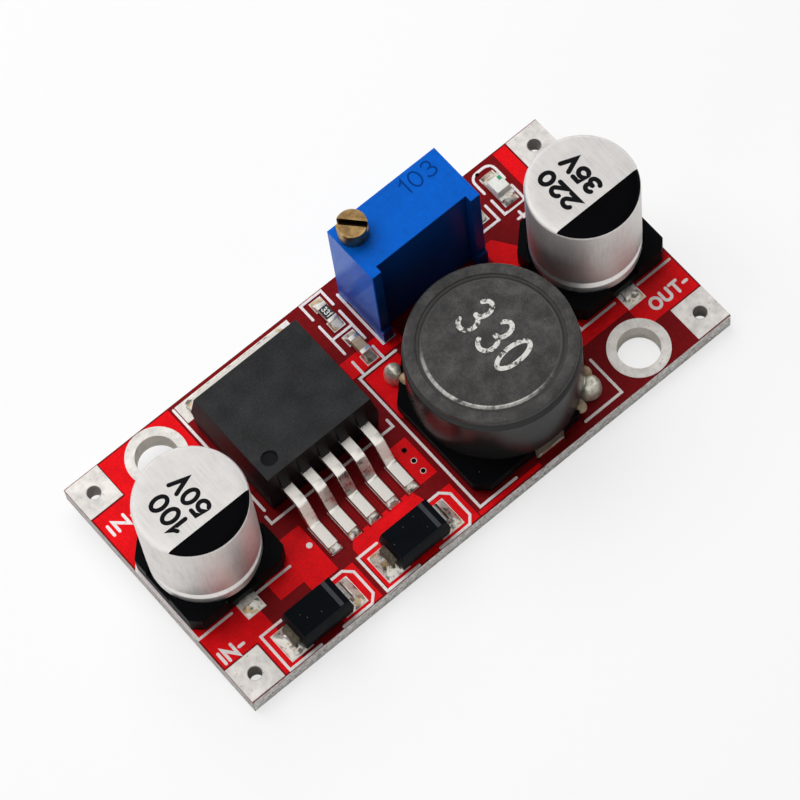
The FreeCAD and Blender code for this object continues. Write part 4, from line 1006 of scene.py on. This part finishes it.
def build_solder(context):
    feet = Bundle()
    places, half, toe = lead_places()
    for k, x in enumerate(places):
        feet.add(*fillet((x - half - 0.05, x + half + 0.05, toe - 0.44, toe + 0.1),
                         (x - half + 0.12, x + half - 0.12, toe - 0.2, toe + 0.1), PAD_TOP, 0.3, 10 + k, 0.6))
    tip_joint(feet, "regulator_heat_tab", 1, (0.05, 0.9, 0.6), (-0.02, 0.9, 0.01), 0.5, 21)
    feet.build("regulator_joints", "solder", slot="solder", nodes=["regulator_solder"])
    cans, diodes, chips, clips = Bundle(), Bundle(), Bundle(), Bundle()
    for k, name in enumerate(("input", "output")):
        for side, end in ((-1, "minus"), (1, "plus")):
            tip_joint(cans, "%s_capacitor_%s_lead" % (name, end), side, (0.72, 0.1, 0.7), (0.36, 0.1, 0.05),
                      0.22, 30 + 2 * k + side, 1.6, from_middle=True)
    for k, name in enumerate(("input", "catch")):
        body_low, body_high = box("%s_diode_body" % name)
        for side, end in ((-1, "anode"), (1, "cathode")):
            low, high = box("%s_diode_%s_lead" % (name, end))
            face, edge = (high[0], body_high[0]) if side > 0 else (low[0], body_low[0])
            outer = sorted((edge - side * 0.3, face + side * 0.74))
            inner = sorted((edge - side * 0.1, face + side * 0.16))
            diodes.add(*fillet((*outer, low[1] - 0.45, high[1] + 0.45), (*inner, low[1] + 0.3, high[1] - 0.3),
                               PAD_TOP, 0.62, 44 + 2 * k + side, 1.0))
    for k, name in enumerate(("feedback_resistor", "feedback_capacitor", "led_resistor")):
        low, high = box(name + "_end_caps")
        for side in (-1, 1):
            tip_joint(chips, name + "_end_caps", side, (0.06, 0.28, 0.6), (-0.05, 0.28, 0.01),
                      (high[2] - low[2]) * 0.7, 60 + 2 * k + side, 1.1)
    for side in (-1, 1):
        tip_joint(chips, "led_terminals", side, (-0.1, 0.1, 0.5), (-0.3, 0.1, 0.15), 0.36, 70 + side, 0.7)
    for side, end, reach in ((-1, "front", 0.06), (1, "back", 0.28)):
        tip_joint(clips, "inductor_terminal_" + end, side, (0.05, 0.12, reach), (0.0, 0.12, 0.01), 0.16,
                  90 + side, 1.3)
    cans.build("capacitor_joints", "solder", slot="solder", nodes=["capacitor_solder"])
    diodes.build("diode_joints", "solder", slot="solder", nodes=["diode_solder"])
    chips.build("small_joints", "solder", slot="solder", nodes=["small_part_solder"])
    coil = Bundle()
    low, high = box("inductor_wire_joints")
    west, north, east, south = low[0] + 0.95, high[1] - 0.95, high[0] - 0.95, low[1] + 0.95
    drops = ((west + 0.15, north + 0.2, 0.74, 1.55), (east, south, 0.93, 1.5),
             (east - 0.3, south + 0.35, 0.78, 1.55))
    for k, (x, y, radius, height) in enumerate(drops):
        coil.add(*lump(x, y, radius, PAD_TOP, height, 80 + k))
    coil.build("wire_end_joints", "joint", slot="solder", nodes=["inductor_wire_joints"])
    clips.build("inductor_joints", "solder", slot="solder", nodes=["inductor_solder"])
    pins = Bundle()
    low, high = box("trimmer_pins")
    pitch = (high[0] - low[0] - 0.5) / 2
    t = np.linspace(0, 1, 10)
    below = np.column_stack([0.26 + 0.6 * t ** 2.2, -0.88 + 0.88 * t])
    for k in range(3):
        x, y = low[0] + 0.25 + k * pitch, (low[1] + high[1]) / 2
        for profile in (below, [(0.44, 0.0), (0.44, BOARD_TOP)]):
            pins.add(*skin(turned_rows(profile, x, y, 40)))
    pins.build("trimmer_joints", "solder", slot="solder", nodes=["trimmer_solder"])


# Capacitors

def can_profile(z0, top, radius):
    """Half section of a drawn can: curled mouth, bead, straight wall and rounded top edge."""
    bead = z0 + 1.55
    lower = rounded([(0.001, z0, 0), (radius - 0.02, z0, 0.5), (radius - 0.01, bead - 0.34, 0.16),
                     (radius - 0.30, bead, 0.14), (radius, bead + 0.42, 0.3), (radius, top, 0.36),
                     (radius - 0.9, top, 0)])
    dish = np.array([(radius * 0.45, top), (0.2, top)])
    return np.vstack([lower, dish])


def build_capacitors(context):
    edge = context.scene.power_module_moulding.edge / MM
    metal = context.scene.power_module_metal
    for name, chord in (("input", 1.97), ("output", 1.52)):
        low, high = box(name + "_capacitor_can")
        cx, cy = (low[:2] + high[:2]) / 2
        radius, top = (high[0] - low[0]) / 2, high[2]
        finish = name + "_can"
        MATERIALS[finish] = can_finish(name + " can aluminium", metal, cy, top, chord)
        turned(name + "_can_shell", can_profile(low[2], top - 0.02, radius), cx, cy, finish, steps=128,
               slot="can_aluminium", nodes=[name + "_capacitor_can"])
        ink = Bundle()
        if name == "input":
            words, weight = (("100", -19.6, -18.05, -1.4, 1.65), ("50V", -17.7, -16.2, -1.5, 1.85)), 0.31
        else:
            words, weight = (("220", 15.2, 16.55, -0.8, 2.65), ("35V", 17.1, 18.5, -0.9, 2.5)), 0.34
        for text, x0, x1, y0, y1 in words:
            ink.words(text, x0, x1, y0, y1, top - 0.025, weight, turn=90, thickness=0.01)
        ink.build(name + "_can_print", "can_ink")
        softened(name + "_capacitor_seat", name + "_seat_moulding", "black", edge)
        dress([name + "_capacitor_plus_lead", name + "_capacitor_minus_lead"], "small_lead")


# Regulator

def build_regulator(context):
    edge = context.scene.power_module_moulding.edge / MM
    softened("regulator_body", "regulator_moulding", "chip", edge, 3)
    softened("regulator_heat_tab", "heat_tab", "lead", 0.05)
    for number in (1, 2, 4, 5):
        softened("regulator_lead_%d" % number, "bent_lead_%d" % number, "lead", 0.05)


# Inductor

def build_inductor(context):
    edge = context.scene.power_module_moulding.edge / MM
    cx, cy, _ = middle("inductor_shield_ring")
    low, high = box("inductor_shield_ring")
    radius, top, z0 = (high[0] - low[0]) / 2, high[2], low[2]
    drum = (box("inductor_drum_core")[1][0] - box("inductor_drum_core")[0][0]) / 2
    bore, lip, groove = radius - 1.0, radius - 0.16, radius - 0.40
    ring = rounded([(bore, z0, 0), (radius, z0, 0.1), (radius, top - 0.95, 0.25), (groove, top - 0.72, 0.12),
                    (groove, top - 0.5, 0.1), (lip, top - 0.38, 0.06), (lip, top, 0.16), (bore, top, 0.1)],
                   closed=True)
    turned("shield_ring", ring, cx, cy, "ferrite", wrap=True, steps=160, slot="ferrite",
           nodes=["inductor_shield_ring"])
    core = rounded([(0.001, z0 + 0.01, 0), (drum, z0 + 0.01, 0.1), (drum, z0 + 1.15, 0.1),
                    (2.6, z0 + 1.15, 0.1), (2.6, top - 1.2, 0.1), (drum, top - 1.2, 0.1),
                    (drum, top - 0.3, 0.08), (drum - 0.27, top - 0.02, 0.12), (drum - 0.6, top - 0.02, 0)])
    core = np.vstack([core, [(drum * 0.5, top - 0.02), (0.2, top - 0.02)]])
    turned("drum_core", core, cx, cy, "ferrite", steps=160, slot="ferrite",
           nodes=["inductor_drum_core"])
    dress(["inductor_winding"], "winding")
    softened("inductor_base", "base_moulding", "black", edge)
    dress(["inductor_terminal_front", "inductor_terminal_back"], "clip")
    gap = rounded([(drum - 0.05, top - 0.5, 0), (bore + 0.05, top - 0.5, 0), (bore + 0.05, top - 0.1, 0),
                   (drum - 0.05, top - 0.1, 0)], closed=True)
    turned("gap_resin", gap, cx, cy, "gap", wrap=True, steps=160, slot="potting_resin")
    # Chamfer ring at the drum's top edge that carries the painted highlight.
    worn = rounded([(drum - 0.03, top - 0.22, 0), (drum, top - 0.18, 0), (drum - 0.2, top - 0.004, 0.1),
                    (drum - 0.36, top - 0.03, 0)], closed=True)
    turned("highlight_bevel", worn, cx, cy, "worn", wrap=True, steps=160, slot="ferrite")
    glue = Bundle()
    for k, (angle, height) in enumerate(((-38.0, 0.95), (-61.0, 0.8), (139.0, 0.8))):
        a = math.radians(angle)
        glue.add(*lump(cx + (radius + 0.02) * math.cos(a), cy + (radius + 0.02) * math.sin(a), 0.5,
                       box("inductor_base")[1][2] - 0.4, height, 95 + k))
    glue.build("ring_glue", "glue", slot="potting_resin")
    ink = Bundle()
    for digit, y, half in (("3", -1.3, 0.75), ("3", -3.35, 0.75), ("0", -5.2, 0.75)):
        ink.words(digit, 4.85, 8.0, y - half, y + half, top - 0.03, 0.34, turn=-90, thickness=0.012)
    ink.build("core_print", "core_ink")


# Diodes, chips and lamp

def build_diodes(context):
    bands = Bundle()
    for name in ("input", "catch"):
        softened(name + "_diode_body", name + "_diode_moulding", "diode", 0.05)
        low, high = box(name + "_diode_body")
        x = high[0] - 0.75
        bands.plate(rectangle(x - 0.16, x + 0.16, low[1] + 0.22, high[1] - 0.22), high[2] - 0.01,
                    high[2] + 0.006)
        dress([name + "_diode_anode_lead"], "clip")
        dress([name + "_diode_cathode_lead"], "small_lead")
    bands.build("diode_bands", "band")


def build_small_parts(context):
    for name in ("feedback_resistor", "led_resistor"):
        dress([name + "_body"], "ceramic")
        dress([name + "_coat"], "glaze")
        softened(name + "_end_caps", name + "_tinned_ends", "lead", 0.05)
    softened("feedback_capacitor_body", "chip_capacitor", "tan", 0.05)
    softened("feedback_capacitor_end_caps", "chip_capacitor_ends", "lead", 0.05)
    marks = Bundle()
    low, high = box("feedback_resistor_coat")
    marks.words("331", low[0] + 0.14, high[0] - 0.14, low[1] + 0.1, high[1] - 0.1, high[2] - 0.005, 0.075,
                turn=-90, thickness=0.01)
    marks.build("resistor_print", "ceramic")
    dress(["led_base"], "lamp_base")
    dress(["led_terminals"], "lead")
    softened("led_lens", "lamp_lens", "lamp", 0.06, 3)
    low, high = box("led_lens")
    mark = Bundle()
    mark.plate(rectangle(high[0] - 0.42, high[0] - 0.14, high[1] - 0.5, high[1] - 0.14, 0.05), high[2] - 0.01,
               high[2] + 0.005)
    mark.build("lamp_mark", "lamp_mark")


# Trimmer

def build_trimmer(context):
    edge = context.scene.power_module_moulding.edge / MM
    softened("trimmer_case", "trimmer_shell", "blue", edge, 3)
    softened("trimmer_screw", "adjusting_screw", "brass", 0.03)
    for node, finish in (("worm_wheel", "wheel"), ("wiper", "wiper"), ("element", "ceramic"),
                         ("seal_ring", "rubber"), ("potting", "potting"), ("pins", "lead")):
        dress(["trimmer_" + node], finish)
    top = box("trimmer_case")[1][2]
    marks = Bundle()
    marks.words("103", 8.0, 10.9, 7.45, 8.8, top - 0.008, 0.14, thickness=0.012)
    marks.build("value_marks", "engraved")


# Stage

CAMERA_PLACE = (-57.479, -94.507, 249.084)
CAMERA_AIM = (0.204, 0.064, 1.6)
CAMERA_ROLL = -9.544
CAMERA_LENS = 176.392
CAMERA_SENSOR = 36.0
CAMERA_CLIP = (0.01, 10.0)
FLOOR_REACH = 600.0


def make_camera(scene):
    """Camera at the photograph's place: aimed, then rolled about its own line of sight."""
    data = bpy.data.cameras.new("photo_camera")
    data.lens = CAMERA_LENS
    data.sensor_width = CAMERA_SENSOR
    data.clip_start, data.clip_end = CAMERA_CLIP
    camera = bpy.data.objects.new("photo_camera", data)
    scene.collection.objects.link(camera)
    place, aim = Vector(CAMERA_PLACE) * MM, Vector(CAMERA_AIM) * MM
    turn = (aim - place).to_track_quat("-Z", "Y").to_matrix()
    roll = Matrix.Rotation(math.radians(CAMERA_ROLL), 3, "Z")
    camera.matrix_world = Matrix.Translation(place) @ (turn @ roll).to_4x4()
    scene.camera = camera


def floor_height(y):
    """The module rests on its front lower edge and on the trimmer's pin tips."""
    pins = box("trimmer_pins")
    slope = pins[0][2] / ((pins[0][1] + pins[1][1]) / 2 - BOARD_LOW[1])
    return slope * (y - BOARD_LOW[1])


def make_floor(scene, settings):
    """Pale floor that turns white where the camera looks straight at it and keeps the shadow."""
    ends = (-FLOOR_REACH, FLOOR_REACH)
    corners = [(x * MM, y * MM, floor_height(y) * MM) for y in ends for x in ends]
    mesh = bpy.data.meshes.new("floor")
    mesh.from_pydata(corners, [], [(0, 1, 3, 2)])
    floor = bpy.data.objects.new("floor", mesh)
    scene.collection.objects.link(floor)
    f = Finish("floor", settings.floor, 0.9, specular=0.0)
    white = f.add("ShaderNodeEmission", {"Color": (1, 1, 1, 1), "Strength": 1.0})
    share = f.times(f.add("ShaderNodeLightPath").outputs["Is Camera Ray"], 0.7)
    both = f.add("ShaderNodeMixShader", {0: share, 1: f.shader.outputs[0], 2: white.outputs[0]})
    f.tree.links.new(both.outputs[0], f.tree.nodes["Material Output"].inputs["Surface"])
    mesh.materials.append(f.material)


def make_lamp(scene, name, place, aim, size, power):
    """Soft lamp that lights the module; what metal mirrors is the room alone."""
    data = bpy.data.lights.new(name, "AREA")
    data.shape = "RECTANGLE"
    data.size, data.size_y = size[0] * MM, size[1] * MM
    data.energy = power
    lamp = bpy.data.objects.new(name, data)
    lamp.location = Vector(place) * MM
    direction = Vector(aim) - Vector(place)
    lamp.visible_glossy = False
    lamp.rotation_mode = "QUATERNION"
    lamp.rotation_quaternion = direction.to_track_quat("-Z", "Y")
    scene.collection.objects.link(lamp)


def make_world(scene, settings):
    """Even room light; the camera sees plain white, and metal a room that is darker overhead on the right."""
    world = bpy.data.worlds.new("studio")
    world.use_nodes = True
    scene.world = world
    tree = world.node_tree

    even = tree.nodes["Background"]
    even.inputs["Color"].default_value = (1, 1, 1, 1)
    even.inputs["Strength"].default_value = settings.sky

    def room(strength):
        return add_node(tree, "ShaderNodeBackground", {"Color": (1, 1, 1, 1), "Strength": strength}).outputs[0]

    def ramp(value, low, high, start=0.0, end=1.0):
        return add_node(tree, "ShaderNodeMapRange", {"Value": value, "From Min": low, "From Max": high,
                                                     "To Min": start, "To Max": end}).outputs[0]

    def choose(share, first, second):
        return add_node(tree, "ShaderNodeMixShader", {0: share, 1: first, 2: second}).outputs[0]

    rays = add_node(tree, "ShaderNodeLightPath").outputs
    direction = add_node(tree, "ShaderNodeTexCoord").outputs["Generated"]
    way = add_node(tree, "ShaderNodeSeparateXYZ", {0: direction})
    shaded = calc(tree, "MULTIPLY", ramp(way.outputs["X"], 0.08, 0.42), ramp(way.outputs["Z"], 0.5, 0.85))
    mirrored = room(ramp(shaded, 0.0, 1.0, settings.mirrored, settings.mirrored * 0.45))
    seen = choose(rays["Is Glossy Ray"], even.outputs[0], mirrored)
    tree.links.new(choose(rays["Is Camera Ray"], seen, room(1.0)), tree.nodes["World Output"].inputs["Surface"])


def build_stage(context):
    scene = context.scene
    settings = scene.power_module_stage
    scene.view_settings.view_transform = "Standard"
    make_camera(scene)
    make_floor(scene, settings)
    make_world(scene, settings)
    make_lamp(scene, "key_light", (-10, 190, 290), (0, 0, 0), (420, 360), settings.key)
    make_lamp(scene, "side_light", (-300, -60, 110), (0, 0, 5), (160, 90), settings.side)
    make_lamp(scene, "front_light", (180, -220, 80), (0, 0, 5), (120, 60), settings.front)


# Operators

class DressOperator:
    """What every operator here shares: it builds its pieces, or stops with an error."""
    bl_options = {"REGISTER", "UNDO"}
    build = None

    def execute(self, context):
        if not MATERIALS:
            make_finishes(context.scene)
        type(self).build(context)
        return {"FINISHED"}


class POWERMODULE_OT_board(DressOperator, bpy.types.Operator):
    """Mask, copper pours, printed lines and plated holes of the board"""
    bl_idname = "power_module.board"
    bl_label = "Board"
    build = staticmethod(build_board)


class POWERMODULE_OT_solder(DressOperator, bpy.types.Operator):
    """Solder joints of all soldered parts"""
    bl_idname = "power_module.solder"
    bl_label = "Solder joints"
    build = staticmethod(build_solder)


class POWERMODULE_OT_capacitors(DressOperator, bpy.types.Operator):
    """Can capacitors with their marks, seats and leads"""
    bl_idname = "power_module.capacitors"
    bl_label = "Capacitors"
    build = staticmethod(build_capacitors)


class POWERMODULE_OT_regulator(DressOperator, bpy.types.Operator):
    """Regulator moulding, heat tab and bent leads"""
    bl_idname = "power_module.regulator"
    bl_label = "Regulator"
    build = staticmethod(build_regulator)


class POWERMODULE_OT_inductor(DressOperator, bpy.types.Operator):
    """Inductor ring, drum, winding and base"""
    bl_idname = "power_module.inductor"
    bl_label = "Inductor"
    build = staticmethod(build_inductor)


class POWERMODULE_OT_diodes(DressOperator, bpy.types.Operator):
    """Both moulded diodes"""
    bl_idname = "power_module.diodes"
    bl_label = "Diodes"
    build = staticmethod(build_diodes)


class POWERMODULE_OT_small_parts(DressOperator, bpy.types.Operator):
    """Chip resistors, chip capacitor and lamp"""
    bl_idname = "power_module.small_parts"
    bl_label = "Small parts"
    build = staticmethod(build_small_parts)


class POWERMODULE_OT_trimmer(DressOperator, bpy.types.Operator):
    """Trimmer case, screw and the parts inside it"""
    bl_idname = "power_module.trimmer"
    bl_label = "Trimmer"
    build = staticmethod(build_trimmer)


class POWERMODULE_OT_stage(DressOperator, bpy.types.Operator):
    """Camera, floor, room light and lamps"""
    bl_idname = "power_module.stage"
    bl_label = "Stage"
    build = staticmethod(build_stage)


OPERATORS = (POWERMODULE_OT_board, POWERMODULE_OT_solder, POWERMODULE_OT_capacitors,
             POWERMODULE_OT_regulator, POWERMODULE_OT_inductor, POWERMODULE_OT_diodes,
             POWERMODULE_OT_small_parts, POWERMODULE_OT_trimmer, POWERMODULE_OT_stage)
SETTINGS = (("power_module_board", BoardSettings), ("power_module_metal", MetalSettings),
            ("power_module_moulding", MouldingSettings), ("power_module_stage", StageSettings))


class POWERMODULE_PT_sidebar(bpy.types.Panel):
    """Settings of the power module and the operators that use them"""
    bl_idname = "POWERMODULE_PT_sidebar"
    bl_label = "Power module"
    bl_space_type = "VIEW_3D"
    bl_region_type = "UI"
    bl_category = "Power module"

    def draw(self, context):
        for attribute, group in SETTINGS:
            column = self.layout.column(align=True)
            for name in group.__annotations__:
                column.prop(getattr(context.scene, attribute), name)
        for operator in OPERATORS:
            self.layout.operator(operator.bl_idname)


def register():
    for attribute, group in SETTINGS:
        bpy.utils.register_class(group)
        setattr(bpy.types.Scene, attribute, PointerProperty(type=group))
    for operator in OPERATORS:
        bpy.utils.register_class(operator)
    bpy.utils.register_class(POWERMODULE_PT_sidebar)


def unregister():
    bpy.utils.unregister_class(POWERMODULE_PT_sidebar)
    for operator in reversed(OPERATORS):
        bpy.utils.unregister_class(operator)
    for attribute, group in reversed(SETTINGS):
        delattr(bpy.types.Scene, attribute)
        bpy.utils.unregister_class(group)


def main():
    register()
    for operator in OPERATORS:
        category, name = operator.bl_idname.split(".")
        getattr(getattr(bpy.ops, category), name)()


if __name__ == "__main__":
    main()
